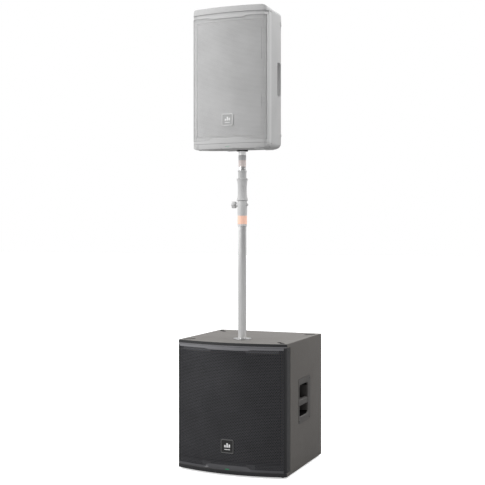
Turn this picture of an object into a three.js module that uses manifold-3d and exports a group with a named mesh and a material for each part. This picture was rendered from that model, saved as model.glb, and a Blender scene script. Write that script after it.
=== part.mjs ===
// A powered public-address stack: a subwoofer, a telescopic pole screwed into its top, and a
// full-range loudspeaker standing on the pole. Millimetres, +Z up, +X to the right of someone
// facing the front, the fronts facing -Y. The origin is on the floor, under the centre of the sub.
import * as THREE from "three";
import { mergeVertices } from "three/addons/utils/BufferGeometryUtils.js";
import Module from "manifold-3d";

const wasm = await Module();
wasm.setup();

// ---- Driving dimensions ----

const GAP = 0.3; // air between pieces that meet
const ROUND = 20; // sides of a large turned piece
const SMALL_ROUND = 12; // sides of a small turned piece
const FAR = 400; // past every surface, for tools that cut right through
const WOOFER_TRAVEL = 8; // each way, subwoofer cone
const ROCKER_TILT = 8; // a power rocker rests this many degrees off level

const SUB = {
  halfWidth: 277.5,
  bottom: 8,
  top: 620,
  apex: -283, // furthest forward point of the bowed front
  back: 283,
  bow: 46, // how far the front swells past its corners
  corner: 18, // radius of the upright front corners
  rearCorner: 3,
  panel: 18, // plywood
  sideStart: -187, // the front bezel ends and the plywood sides begin
};
// Depths below the front outline: a grille's two faces, the recess it lies in, the foam behind.
const GRILLE_DEPTHS = [3.5, 5];
const RECESS_DEPTHS = [-4, 5.3];
const FOAM_DEPTHS = [6, 11];

// A grille wraps round the corners as far as an outward normal. Its upper and lower edges dip
// towards its middle, fully within the narrow half width and not at all past the wide one.
const SUB_GRILLE = { wrap: 24, low: 38, high: 590, lowDip: 12, highDip: 5 };
const SUB_DIP = { narrow: 98, wide: 118 };
const FOAM = { wrap: 17.2, low: 70, high: 570, lowDip: 0, highDip: 0 };
const LIGHT = { halfWidth: 10, halfHeight: 2, depth: 9 };
const SUB_LIGHT_Z = 31.5;

const POLE = { x: 0, y: -98, outer: 20, inner: 17.5, wall: 2, disc: 3 };
const CLAMP_Z = 1266;
const TUBE_TOP = 1235;
const GRIP = { bottom: 1285, top: 1393 };

const SAT = {
  halfWidth: 190,
  bottom: 1522,
  top: 2180,
  apex: -280,
  bow: 22,
  corner: 27,
  seam: -203, // the front housing meets the rear housing
  taper: -75, // the sides start to close in
  back: 78,
  round: 22, // corners seen from the front
  wall: 5,
};
const SAT_GRILLE = { wrap: 62, low: 1562, high: 2134, lowDip: 9, highDip: 8 };
const SAT_DIP = { narrow: 78, wide: 96 };
const SAT_LIGHT_Z = 1532;

// ---- Materials ----

const paint = (color, roughness, metalness = 0) =>
  new THREE.MeshStandardMaterial({ color, roughness, metalness });

const LOOK = {
  plywoodPaint: paint(0x4b4a46, 0.7),
  blackPlastic: paint(0x35353a, 0.5),
  blackSteel: paint(0x2c2c2f, 0.55, 0.3),
  foam: paint(0x151517, 0.95),
  rubber: paint(0x1d1d1f, 0.85),
  plywood: paint(0x9c7f56, 0.8),
  castMetal: paint(0x6a6c70, 0.5, 0.8),
  magnet: paint(0x2a2b2e, 0.6, 0.4),
  cone: paint(0x222224, 0.9),
  copper: paint(0xa9683a, 0.45, 0.9),
  panel: paint(0x2f3033, 0.5, 0.5),
  emblem: paint(0x1c1c1e, 0.4),
  light: paint(0x2fae62, 0.3),
  chrome: paint(0xc9cacc, 0.2, 1),
  palePlastic: paint(0xb8b8b8, 0.6),
  paleSteel: paint(0xb4b4b4, 0.55, 0.2),
  label: paint(0xe29a78, 0.6),
};

// ---- Solids: joining, cutting and placing ----

const speaker = new THREE.Group();

function toSolid(geometry) {
  const bare = new THREE.BufferGeometry();
  bare.setAttribute("position", geometry.getAttribute("position"));
  bare.setIndex(geometry.getIndex());
  const merged = mergeVertices(bare, 1e-3);
  const triVerts = new Uint32Array(merged.index.array);
  const vertProperties = merged.getAttribute("position").array;
  const made = new wasm.Manifold(new wasm.Mesh({ numProp: 3, vertProperties, triVerts }));
  if (made.volume() > 0) return made;
  for (let i = 0; i < triVerts.length; i += 3) triVerts.subarray(i, i + 3).reverse();
  return new wasm.Manifold(new wasm.Mesh({ numProp: 3, vertProperties, triVerts }));
}

function fromSolid(solid) {
  const mesh = solid.getMesh();
  const geometry = new THREE.BufferGeometry();
  const stride = mesh.numProp;
  const points = new Float32Array((mesh.vertProperties.length / stride) * 3);
  for (let i = 0; i * stride < mesh.vertProperties.length; i++) {
    points.set(mesh.vertProperties.subarray(i * stride, i * stride + 3), i * 3);
  }
  geometry.setAttribute("position", new THREE.BufferAttribute(points, 3));
  geometry.setIndex(new THREE.BufferAttribute(new Uint32Array(mesh.triVerts), 1));
  return geometry;
}

const join = (first, ...rest) =>
  fromSolid(rest.reduce((sum, next) => sum.add(toSolid(next)), toSolid(first)));

const cut = (first, ...tools) =>
  fromSolid(tools.reduce((sum, tool) => sum.subtract(toSolid(tool)), toSolid(first)));

const overlap = (first, second) => fromSolid(toSolid(first).intersect(toSolid(second)));

// Adds a named sub-part to the stack.
function addNode(name, geometry, material) {
  const mesh = new THREE.Mesh(fromSolid(toSolid(geometry)), material);
  mesh.name = name;
  speaker.add(mesh);
  return mesh;
}

// A box from its low and high limits along each axis.
function block([x0, x1], [y0, y1], [z0, z1]) {
  const box = new THREE.BoxGeometry(x1 - x0, y1 - y0, z1 - z0);
  return box.translate((x0 + x1) / 2, (y0 + y1) / 2, (z0 + z1) / 2);
}

// A box on the left or right side, its X limits given as distances from the centre plane.
const sideBlock = (side, [near, far], y, z) => block(side > 0 ? [near, far] : [-far, -near], y, z);

// A pair of limits, moved apart by the same amount at both ends.
const grown = ([low, high], by) => [low - by, high + by];

// A plan outline, extruded upwards between two heights.
function slab(points, low, high) {
  const shape = new THREE.Shape(points.map(([x, y]) => new THREE.Vector2(x, y)));
  const solid = new THREE.ExtrudeGeometry(shape, { depth: high - low, bevelEnabled: false });
  return solid.translate(0, 0, low);
}

// An outline in X and Z, extruded along Y between two depths.
function plate(points, front, back) {
  return slab(points.map(([x, z]) => [x, -z]), front, back).rotateX(-Math.PI / 2);
}

// Turned pieces: the profile is a list of [radius, position along the axis].
const turned = (profile, segments) =>
  new THREE.LatheGeometry(profile.map(([r, s]) => new THREE.Vector2(r, s)), segments);

const closedRing = (profile, segments) => turned([...profile, profile[0]], segments);

const uprightAt = (geometry, x, y) => geometry.rotateX(Math.PI / 2).translate(x, y, 0);

const rod = (radius, low, high, segments) =>
  new THREE.CylinderGeometry(radius, radius, high - low, segments).translate(0, (low + high) / 2, 0);

function tube(outer, inner, low, high, segments) {
  const wall = [[inner, low], [outer, low], [outer, high], [inner, high]];
  return closedRing(wall, segments);
}

const alongX = (geometry, y, z) => geometry.rotateZ(-Math.PI / 2).translate(0, y, z);

function arc(x, y, radius, startDegrees, endDegrees, steps) {
  return Array.from({ length: steps + 1 }, (_, i) => {
    const angle = THREE.MathUtils.degToRad(startDegrees + ((endDegrees - startDegrees) * i) / steps);
    return [x + radius * Math.cos(angle), y + radius * Math.sin(angle)];
  });
}

// A rectangle with round corners as [across, up] points, anticlockwise.
function roundedRectangle(halfWidth, low, high, radius, steps) {
  const corners = [
    [halfWidth - radius, high - radius, 0],
    [-halfWidth + radius, high - radius, 90],
    [-halfWidth + radius, low + radius, 180],
    [halfWidth - radius, low + radius, 270],
  ];
  return corners.flatMap(([x, z, start]) => arc(x, z, radius, start, start + 90, steps));
}

// A slot's outline: round ends, centred on x, y and turned by an angle.
function oblong(x, y, length, width, degrees) {
  const half = (length - width) / 2;
  const turn = THREE.MathUtils.degToRad(degrees);
  const ends = [...arc(half, 0, width / 2, -90, 90, 4), ...arc(-half, 0, width / 2, 90, 270, 4)];
  return ends.map(([u, v]) => [
    x + u * Math.cos(turn) - v * Math.sin(turn),
    y + u * Math.sin(turn) + v * Math.cos(turn),
  ]);
}

// A solid through a row of outlines that have the same number of points.
function loft(rings) {
  const count = rings[0].length;
  const points = rings.flat(2);
  const faces = [];
  for (let ring = 0; ring + 1 < rings.length; ring++) {
    for (let i = 0; i < count; i++) {
      const [a, b] = [ring * count + i, ring * count + ((i + 1) % count)];
      faces.push(a, b, b + count, a, b + count, a + count);
    }
  }
  const last = (rings.length - 1) * count;
  for (let i = 1; i + 1 < count; i++) {
    faces.push(0, i + 1, i, last, last + i, last + i + 1);
  }
  const geometry = new THREE.BufferGeometry();
  geometry.setAttribute("position", new THREE.Float32BufferAttribute(points, 3));
  geometry.setIndex(faces);
  return geometry;
}

// ---- The bowed plan that both cabinets share ----

// The front is an arc of a large circle, meeting the flat sides in small round corners. A place
// along it is named by the angle of its outward normal: 0 at the middle, 90 at the right side.
function bowedPlan(cabinet) {
  const { halfWidth, apex, bow, corner } = cabinet;
  const radius = (halfWidth ** 2 + bow ** 2) / (2 * bow);
  const centreY = apex + radius;
  const cornerX = halfWidth - corner;
  const cornerY = centreY - Math.sqrt((radius - corner) ** 2 - cornerX ** 2);
  const turn = THREE.MathUtils.radToDeg(Math.asin(cornerX / (radius - corner)));
  return { halfWidth, corner, radius, centreY, cornerX, cornerY, turn };
}

function frontPoint(plan, degrees, inset) {
  const angle = THREE.MathUtils.degToRad(degrees);
  const side = Math.sign(degrees);
  if (Math.abs(degrees) <= plan.turn) {
    const reach = plan.radius - inset;
    return [reach * Math.sin(angle), plan.centreY - reach * Math.cos(angle)];
  }
  const reach = plan.corner - inset;
  return [side * plan.cornerX + reach * Math.sin(angle), plan.cornerY - reach * Math.cos(angle)];
}

// Normal angles from one end of the front to the other, with one at each bend in its details.
function frontAngles(plan, wrap, marks = []) {
  const bowEnd = Math.min(plan.turn, wrap);
  const half = [0, bowEnd / 3, (bowEnd * 2) / 3, bowEnd];
  for (const x of marks) half.push(THREE.MathUtils.radToDeg(Math.asin(x / plan.radius)));
  const cornerSteps = wrap > bowEnd ? 3 : 0;
  for (let i = 1; i <= cornerSteps; i++) half.push(bowEnd + ((wrap - bowEnd) * i) / cornerSteps);
  half.sort((a, b) => a - b);
  return [...half.slice(1).reverse().map((a) => -a), ...half];
}

function planOutline(plan, inset, back, backRadius) {
  const x = plan.halfWidth - inset - backRadius;
  const front = frontAngles(plan, 90).map((angle) => frontPoint(plan, angle, inset));
  const rear = [
    ...arc(x, back - backRadius, backRadius, 0, 90, 3),
    ...arc(-x, back - backRadius, backRadius, 90, 180, 3),
  ];
  return [...front, ...rear];
}

// A sheet that follows the bow between two insets, from a low to a high edge. Both edges step
// towards the middle of the sheet where the bezel widens around its centre line.
function bowedSheet(plan, grille, dip, insets, grow) {
  const angles = frontAngles(plan, grille.wrap + Math.sign(grow) * 1.5, [dip.narrow, dip.wide]);
  const rings = angles.map((angle) => {
    const across = Math.abs(frontPoint(plan, angle, 0)[0]);
    const share = THREE.MathUtils.clamp((dip.wide - across) / (dip.wide - dip.narrow), 0, 1);
    const low = grille.low + grille.lowDip * share - grow;
    const high = grille.high - grille.highDip * share + grow;
    const [outside, inside] = insets.map((inset) => frontPoint(plan, angle, inset));
    return [[...outside, low], [...inside, low], [...inside, high], [...outside, high]];
  });
  return loft(rings);
}

// ---- Loudspeaker parts that both cabinets use ----

// A socket facing +Y: a cup whose mouth is flush with its round flange.
function socketCup(x, mouth, z) {
  const profile = [
    [0, mouth - 20],
    [11, mouth - 20],
    [11, mouth - 5],
    [14, mouth - 5],
    [14, mouth],
    [9, mouth],
    [9, mouth - 17],
    [0, mouth - 17],
  ];
  return turned(profile, SMALL_ROUND).translate(x, 0, z);
}

function mainsInlet(x, mouth, z) {
  const body = block([x - 24, x + 24], [mouth - 22, mouth], [z - 14, z + 14]);
  return cut(body, block([x - 13, x + 13], [mouth - 18, mouth + 1], [z - 9, z + 9]));
}

// A turn knob facing +Y, with its shaft behind it.
function turnKnob(face) {
  const profile = [
    [0, face - 20],
    [3, face - 20],
    [3, face - 12],
    [11, face - 12],
    [10.5, face - 1],
    [9.5, face],
    [0, face],
  ];
  return turned(profile, SMALL_ROUND);
}

// A rocker whose pivot is its own origin, along X.
const rocker = () => cut(
  block([-6.5, 6.5], [-8, 5], [-10, 10]),
  alongX(rod(14, -10, 10, ROUND), 17, 0),
);

// The status light stands in a pocket in the lower rail, just behind the furthest forward point.
const statusPocket = (apex, z) => block(
  grown([-LIGHT.halfWidth, LIGHT.halfWidth], GAP),
  [apex - 5, apex + LIGHT.depth + 1],
  grown([z - LIGHT.halfHeight, z + LIGHT.halfHeight], GAP),
);

const statusLight = (apex, z) => block(
  [-LIGHT.halfWidth, LIGHT.halfWidth],
  [apex + 0.5, apex + LIGHT.depth],
  [z - LIGHT.halfHeight, z + LIGHT.halfHeight],
);

// What a rear panel is pierced with: sockets, the mains inlet, the knob's shaft and the rocker.
function panelHoles(mouth, plateFront, sockets, inlet, knob, rockerAt) {
  const depths = [plateFront - 10, mouth + 10];
  const holes = sockets.map(([x, z]) => rod(11.4, ...depths, SMALL_ROUND).translate(x, 0, z));
  holes.push(block([inlet[0] - 24.3, inlet[0] + 24.3], depths, [inlet[1] - 14.3, inlet[1] + 14.3]));
  holes.push(rod(3.5, ...depths, SMALL_ROUND).translate(knob[0], 0, knob[1]));
  holes.push(block([rockerAt[0] - 7, rockerAt[0] + 7], depths, [rockerAt[1] - 12, rockerAt[1] + 12]));
  return holes;
}

// ---- Subwoofer ----

const subPlan = bowedPlan(SUB);
const SUB_INSIDE = SUB.halfWidth - SUB.panel;
const DECK = [SUB.bottom + SUB.panel, SUB.top - SUB.panel];
const BAFFLE = { front: SUB.sideStart + GAP, thickness: 18 };
const SUB_WOOFER = { z: 343, hole: 211, flange: 230 };
const PORTS = { x: 195, z: 125, bore: 43, wall: 3 };
const SUB_CORNERS = [
  { name: "front_left", x: -235, y: -196 },
  { name: "front_right", x: 235, y: -196 },
  { name: "rear_left", x: -238, y: 211 },
  { name: "rear_right", x: 238, y: 211 },
];
const FOOT = { length: 58, width: 16 };
const HANDLE = {
  frameY: [-72, 102],
  frameZ: [222, 436],
  cupY: [-64, 84],
  cupZ: [230, 428],
  barZ: [303, 336],
  gripZ: [255, 405],
  depth: 70,
  rim: 3,
};
const SUB_PANEL = { halfWidth: 150, low: 100, high: 540, front: 266, thickness: 4 };
const SUB_SOCKETS = [[-60, 420], [-60, 370], [0, 420], [0, 370]];
const SUB_INLET = [-60, 160];
const SUB_KNOB = [60, 395];
const SUB_ROCKER = [20, 160];

// Feet and stacking pockets lie across the corners, so they point at the cabinet's middle.
const slant = (corner) => (Math.sign(corner.x) === Math.sign(corner.y) ? 45 : -45);

function subCabinet() {
  const shell = slab(planOutline(subPlan, 0, SUB.back, SUB.rearCorner), SUB.bottom, SUB.top);
  const room = block([-SUB_INSIDE, SUB_INSIDE], [-FAR, SUB.back - SUB.panel], DECK);
  const frontRoom = block([-FAR, FAR], [-FAR, SUB.sideStart], DECK);
  const handleCuts = [-1, 1].flatMap((side) => [
    sideBlock(side, [SUB_INSIDE - 5, FAR], grown(HANDLE.cupY, GAP), grown(HANDLE.cupZ, GAP)),
    sideBlock(
      side,
      [SUB.halfWidth - HANDLE.rim - GAP, FAR],
      grown(HANDLE.frameY, GAP),
      grown(HANDLE.frameZ, GAP),
    ),
  ]);
  const panelX = SUB_PANEL.halfWidth;
  const panelHole = block([-panelX, panelX], [SUB_PANEL.front - 10, FAR], [SUB_PANEL.low, SUB_PANEL.high]);
  const poleHole = uprightAt(rod(20.3, DECK[1] - 10, SUB.top + 10, ROUND), POLE.x, POLE.y);
  const stackingPockets = SUB_CORNERS.map((corner) => {
    const outline = oblong(corner.x, corner.y, FOOT.length + 4, FOOT.width + 4, slant(corner));
    return slab(outline, SUB.top - 6, SUB.top + 5);
  });
  return cut(shell, room, frontRoom, ...handleCuts, panelHole, poleHole, ...stackingPockets);
}

function subBezel() {
  const outline = planOutline(subPlan, 0.8, 0, 5);
  const slabSolid = slab(outline, DECK[0] + GAP, DECK[1] - GAP);
  const behind = block([-FAR, FAR], [SUB.sideStart, FAR], DECK);
  const window = block([-255, 255], [-FAR, 0], [SUB_GRILLE.low + 22, SUB_GRILLE.high - 15]);
  const recess = bowedSheet(subPlan, SUB_GRILLE, SUB_DIP, RECESS_DEPTHS, 0.5);
  return cut(slabSolid, behind, window, recess, statusPocket(SUB.apex, SUB_LIGHT_Z));
}

function subBaffle() {
  const depths = [BAFFLE.front, BAFFLE.front + BAFFLE.thickness];
  const board = block(grown([-SUB_INSIDE, SUB_INSIDE], -GAP), depths, grown(DECK, -GAP));
  const through = [depths[0] - 10, depths[1] + 10];
  const wooferHole = rod(SUB_WOOFER.hole, ...through, ROUND).translate(0, 0, SUB_WOOFER.z);
  const portHoles = [-1, 1].map((side) =>
    rod(PORTS.bore + PORTS.wall + GAP, ...through, ROUND).translate(side * PORTS.x, 0, PORTS.z),
  );
  return cut(board, wooferHole, ...portHoles);
}

// The woofer's pieces turn about an axis along Y. Depths run back from the baffle's front face.
const behindBaffle = (profile, face) => profile.map(([r, depth]) => [r, face + depth]);

function subBasket() {
  const profile = [
    [SUB_WOOFER.flange, -6],
    [SUB_WOOFER.flange, -GAP],
    [208, -GAP],
    [118, 91],
    [118, 106.4],
    [60, 106.4],
    [60, 102.4],
    [113, 102.4],
    [113, 90],
    [200, 2],
    [200, -6],
  ];
  const frame = closedRing(behindBaffle(profile, BAFFLE.front), ROUND);
  const windows = [0, 60, 120].map((degrees) =>
    block([-300, 300], [BAFFLE.front + 24, BAFFLE.front + 84], [-45, 45])
      .rotateY(THREE.MathUtils.degToRad(degrees)),
  );
  return cut(frame, ...windows).translate(0, 0, SUB_WOOFER.z);
}

function subMagnet() {
  const profile = [
    [0, 101],
    [48, 101],
    [48, 150],
    [53, 150],
    [53, 106.8],
    [95, 106.8],
    [95, 158],
    [0, 158],
  ];
  return turned(behindBaffle(profile, BAFFLE.front), ROUND).translate(0, 0, SUB_WOOFER.z);
}

function subSurround() {
  const roll = arc(190, -6.6, 11, 0, 180, 4).map(([r, up]) => [r, -6.6 - (up + 6.6)]);
  const profile = [[222, -6.3], [222, -8.6], ...roll, [172, -8.6], [172, -6.3]];
  return closedRing(behindBaffle(profile, BAFFLE.front), ROUND).translate(0, 0, SUB_WOOFER.z);
}

function subSpider() {
  const profile = [[51.6, 94], [112, 94], [112, 96], [51.6, 96]];
  return closedRing(behindBaffle(profile, BAFFLE.front), ROUND).translate(0, 0, SUB_WOOFER.z);
}

function subCone() {
  const profile = [
    [0, 46],
    [35, 49],
    [60, 60],
    [171, -4],
    [171, -1],
    [60, 66],
    [53, 76],
    [49, 76],
    [49, 62],
    [0, 50],
  ];
  return turned(behindBaffle(profile, BAFFLE.front), ROUND).translate(0, 0, SUB_WOOFER.z);
}

function subPort(side) {
  const { bore, wall } = PORTS;
  const profile = [
    [bore + 2, -3],
    [bore + 12, -3],
    [bore + 12, -GAP],
    [bore + wall, -GAP],
    [bore + wall, 150],
    [bore, 150],
    [bore, 8],
  ];
  const turnedPort = closedRing(behindBaffle(profile, BAFFLE.front), ROUND);
  return turnedPort.translate(side * PORTS.x, 0, PORTS.z);
}

function subHandle(side) {
  const face = SUB.halfWidth;
  const floor = face - HANDLE.depth;
  const body = join(
    sideBlock(side, [floor, face - HANDLE.rim], HANDLE.cupY, HANDLE.cupZ),
    sideBlock(side, [face - HANDLE.rim, face], HANDLE.frameY, HANDLE.frameZ),
  );
  const mouth = [[floor + 5, -57], [face + 5, -57], [face + 5, 64], [floor + 5, 50]];
  const pocket = slab(mouth.map(([x, y]) => [side * x, y]), ...HANDLE.gripZ);
  const bar = sideBlock(side, [face - 27, face - 0.5], grown(HANDLE.cupY, -6), HANDLE.barZ);
  return join(cut(body, pocket), bar);
}

function subPoleSocket() {
  const profile = [
    [10.3, 580],
    [20, 580],
    [20, DECK[1] - 6],
    [40, DECK[1] - 6],
    [40, DECK[1] - GAP],
    [20, DECK[1] - GAP],
    [20, SUB.top],
    [10.3, SUB.top],
  ];
  return uprightAt(closedRing(profile, ROUND), POLE.x, POLE.y);
}

function subAmpPanel() {
  const { halfWidth, low, high, front, thickness } = SUB_PANEL;
  const across = grown([-halfWidth, halfWidth], -GAP);
  const sheet = block(across, [front, front + thickness], grown([low, high], -GAP));
  return cut(sheet, ...panelHoles(front + 20, front, SUB_SOCKETS, SUB_INLET, SUB_KNOB, SUB_ROCKER));
}

function buildSub() {
  const back = SUB_PANEL.front + SUB_PANEL.thickness;
  addNode("sub_cabinet", subCabinet(), LOOK.plywoodPaint);
  addNode("sub_baffle", subBaffle(), LOOK.plywood);
  addNode("sub_front_bezel", subBezel(), LOOK.blackPlastic);
  addNode("sub_grille", bowedSheet(subPlan, SUB_GRILLE, SUB_DIP, GRILLE_DEPTHS, 0), LOOK.blackSteel);
  addNode("sub_grille_foam", bowedSheet(subPlan, FOAM, SUB_DIP, FOAM_DEPTHS, 0), LOOK.foam);
  addNode("sub_badge", block([-32, 32], [SUB.apex + 0.1, SUB.apex + 3.2], [106, 170]), LOOK.emblem);
  addNode("sub_status_light", statusLight(SUB.apex, SUB_LIGHT_Z), LOOK.light);
  addNode("sub_woofer_basket", subBasket(), LOOK.castMetal);
  addNode("sub_woofer_magnet", subMagnet(), LOOK.magnet);
  addNode("sub_woofer_surround", subSurround(), LOOK.rubber);
  addNode("sub_woofer_spider", subSpider(), LOOK.plywood);
  addNode("sub_woofer_cone", subCone(), LOOK.cone);
  const coil = tube(51, 49.5, BAFFLE.front + 76.3, BAFFLE.front + 146 - WOOFER_TRAVEL, ROUND);
  addNode("sub_voice_coil", coil.translate(0, 0, SUB_WOOFER.z), LOOK.copper);
  for (const [name, side] of [["left", -1], ["right", 1]]) {
    addNode(`sub_port_${name}`, subPort(side), LOOK.blackPlastic);
    addNode(`sub_handle_${name}`, subHandle(side), LOOK.blackPlastic);
  }
  addNode("sub_pole_socket", subPoleSocket(), LOOK.castMetal);
  for (const corner of SUB_CORNERS) {
    const foot = slab(oblong(corner.x, corner.y, FOOT.length, FOOT.width, slant(corner)), 0, SUB.bottom);
    addNode(`sub_foot_${corner.name}`, foot, LOOK.rubber);
  }
  addNode("sub_amp_panel", subAmpPanel(), LOOK.panel);
  const module = block([-140, 140], [205, SUB_PANEL.front - 22.5], [112, 528]);
  addNode("sub_amp_module", module, LOOK.castMetal);
  addNode("sub_mains_inlet", mainsInlet(SUB_INLET[0], back + 1, SUB_INLET[1]), LOOK.blackPlastic);
  const socketNames = ["sub_input_1", "sub_input_2", "sub_output_1", "sub_output_2"];
  socketNames.forEach((name, i) => {
    const [x, z] = SUB_SOCKETS[i];
    addNode(name, socketCup(x, back + 5 + GAP, z), LOOK.blackPlastic);
  });
  const knob = addNode("sub_control_knob", turnKnob(0), LOOK.blackPlastic);
  knob.position.set(SUB_KNOB[0], back + 12 + GAP, SUB_KNOB[1]);
  const power = addNode("sub_power_switch", rocker(), LOOK.blackPlastic);
  power.position.set(SUB_ROCKER[0], back, SUB_ROCKER[1]);
  power.rotation.x = THREE.MathUtils.degToRad(-ROCKER_TILT);
}

// ---- Pole ----

const CLAMP = { screw: 4, boss: 9, pad: 5.7, padLength: 5, reach: 30, knob: 18, knobLength: 23 };

const upright = (profile, segments) => uprightAt(turned(profile, segments), POLE.x, POLE.y);

const uprightRing = (profile, segments) =>
  uprightAt(closedRing(profile, segments), POLE.x, POLE.y);

const uprightTube = (outer, inner, low, high, segments) =>
  uprightRing([[inner, low], [outer, low], [outer, high], [inner, high]], segments);

function poleBase() {
  const profile = [
    [0, 583],
    [10, 583],
    [10, SUB.top],
    [44, SUB.top],
    [44, SUB.top + 2],
    [43, SUB.top + POLE.disc],
    [POLE.outer - POLE.wall - GAP, SUB.top + POLE.disc],
    [POLE.outer - POLE.wall - GAP, SUB.top + 50],
    [0, SUB.top + 50],
  ];
  return upright(profile, ROUND);
}

function clampCollar() {
  const bore = POLE.inner + GAP;
  const profile = [
    [POLE.outer + GAP, 1162],
    [22, 1162],
    [22, 1215],
    [23.5, 1235],
    [23.5, GRIP.bottom - GAP],
    [bore, GRIP.bottom - GAP],
    [bore, TUBE_TOP + GAP],
    [POLE.outer + GAP, TUBE_TOP + GAP],
  ];
  const bosses = alongX(rod(CLAMP.boss, -CLAMP.reach, -20, SMALL_ROUND), POLE.y, CLAMP_Z);
  const nut = alongX(rod(7, 20, 29, 6), POLE.y, CLAMP_Z);
  const body = join(uprightRing(profile, ROUND), bosses, nut);
  const hollow = uprightAt(rod(bore, TUBE_TOP + GAP, GRIP.bottom, ROUND), POLE.x, POLE.y);
  const screwHole = alongX(rod(CLAMP.screw + GAP, -60, 0, SMALL_ROUND), POLE.y, CLAMP_Z);
  const padRoom = alongX(rod(CLAMP.pad + GAP, -26, 0, SMALL_ROUND), POLE.y, CLAMP_Z);
  return cut(body, hollow, screwHole, padRoom);
}

function clampPad() {
  const inner = POLE.inner + 0.2;
  const length = [-inner - CLAMP.padLength, -inner + 4];
  const pad = alongX(rod(CLAMP.pad, ...length, SMALL_ROUND), POLE.y, CLAMP_Z);
  return cut(pad, uprightAt(rod(inner, CLAMP_Z - 50, CLAMP_Z + 50, ROUND), POLE.x, POLE.y));
}

function clampKnob() {
  const { reach, knob, knobLength, screw, padLength } = CLAMP;
  const start = -reach - 3;
  const lobes = 6;
  const outline = Array.from({ length: lobes * 6 }, (_, i) => {
    const angle = (i / (lobes * 6)) * Math.PI * 2;
    const radius = knob - 2 + 2 * Math.cos(lobes * angle);
    return [radius * Math.cos(angle), radius * Math.sin(angle)];
  });
  const body = slab(outline, 0, knobLength - 3);
  const grip = body.rotateY(-Math.PI / 2).translate(start, POLE.y, CLAMP_Z);
  const screwTip = -POLE.inner - 0.2 - padLength - GAP;
  const stem = alongX(rod(screw, start - 5, screwTip, SMALL_ROUND), POLE.y, CLAMP_Z);
  return join(grip, stem);
}

function poleGrip() {
  const bore = POLE.inner + GAP;
  const steps = 8;
  const waist = Array.from({ length: steps + 1 }, (_, i) => {
    const share = i / steps;
    const radius = 21.5 + 6 * Math.abs(2 * share - 1) ** 3;
    return [radius, GRIP.bottom + 4 + (GRIP.top - GRIP.bottom - 8) * share];
  });
  const foot = [[bore, GRIP.bottom], [25, GRIP.bottom]];
  return uprightRing([...foot, ...waist, [24, GRIP.top], [bore, GRIP.top]], ROUND);
}

function stopSleeve() {
  const profile = [
    [POLE.inner + GAP, GRIP.top],
    [20, GRIP.top],
    [20, 1423],
    [21.5, 1424],
    [21.5, 1430],
    [19, 1432],
    [POLE.inner + GAP, 1432],
  ];
  return uprightRing(profile, ROUND);
}

function gasRod() {
  const profile = [
    [0, 677],
    [5, 677],
    [5, 1150],
    [15.1, 1150],
    [15.1, 1162],
    [0, 1162],
  ];
  return upright(profile, ROUND);
}

function gasCylinder() {
  const profile = [
    [0, 671],
    [POLE.outer - POLE.wall - GAP, 671],
    [POLE.outer - POLE.wall - GAP, 683],
    [11, 683],
    [11, 1135],
    [5.6, 1135],
    [5.6, 673],
    [0, 673],
  ];
  return upright(profile, ROUND);
}

function buildPole() {
  const { outer, inner, wall, disc } = POLE;
  addNode("pole_base", poleBase(), LOOK.chrome);
  const outerTube = uprightTube(outer, outer - wall, SUB.top + disc, TUBE_TOP, ROUND);
  addNode("pole_outer_tube", outerTube, LOOK.chrome);
  addNode("pole_label_lower", uprightTube(23, 22.3, 1172, 1213, ROUND), LOOK.label);
  addNode("pole_clamp_collar", clampCollar(), LOOK.palePlastic);
  addNode("pole_grip", poleGrip(), LOOK.palePlastic);
  addNode("pole_clamp_pad", clampPad(), LOOK.rubber);
  addNode("pole_clamp_knob", clampKnob(), LOOK.palePlastic);
  addNode("pole_inner_tube", uprightTube(inner, inner - wall, 780, 1605, ROUND), LOOK.chrome);
  addNode("pole_stop_sleeve", stopSleeve(), LOOK.palePlastic);
  addNode("pole_label_upper", uprightTube(inner + 0.9, inner + GAP, 1449, 1480, ROUND), LOOK.label);
  addNode("pole_gas_cylinder", gasCylinder(), LOOK.castMetal);
  addNode("pole_gas_rod", gasRod(), LOOK.chrome);
}

// ---- Satellite ----

const satPlan = bowedPlan(SAT);
const SAT_BAFFLE = { front: -225, thickness: 5 };
const SAT_WOOFER = { z: 1746, hole: 141, flange: 154 };
const HORN = { z: 2012, mouth: [150, 98], round: 30, throat: 12.5, depth: 105, wall: 4 };
const SAT_PANEL = { halfWidth: 96, low: 1640, high: 2060, front: 62, thickness: 4 };
const SAT_SOCKETS = [[-40, 1960], [-40, 1915]];
const SAT_INLET = [-30, 1690];
const SAT_KNOB = [35, 1938];
const SAT_ROCKER = [40, 1690];
const SAT_GRIP = { y: [-126, -79], z: [1774, 1935], floor: 146 };

// Outline of the rear housing at one depth, shrunk by an inset.
function rearRing(depth, halfWidth, low, high, inset) {
  const outline = roundedRectangle(halfWidth - inset, low + inset, high - inset, SAT.round - inset / 2, 3);
  return outline.map(([x, z]) => [x, depth, z]);
}

function rearLoft(inset) {
  const start = SAT.seam + (inset ? -5 : GAP);
  return loft([
    rearRing(start, SAT.halfWidth, SAT.bottom, SAT.top, inset),
    rearRing(SAT.taper, SAT.halfWidth, SAT.bottom + 9, SAT.top - 2, inset),
    rearRing(40, 140, SAT.bottom + 17, SAT.top - 10, inset),
    rearRing(SAT.back - inset, 118, SAT.bottom + 28, SAT.top - 24, inset),
  ]);
}

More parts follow.
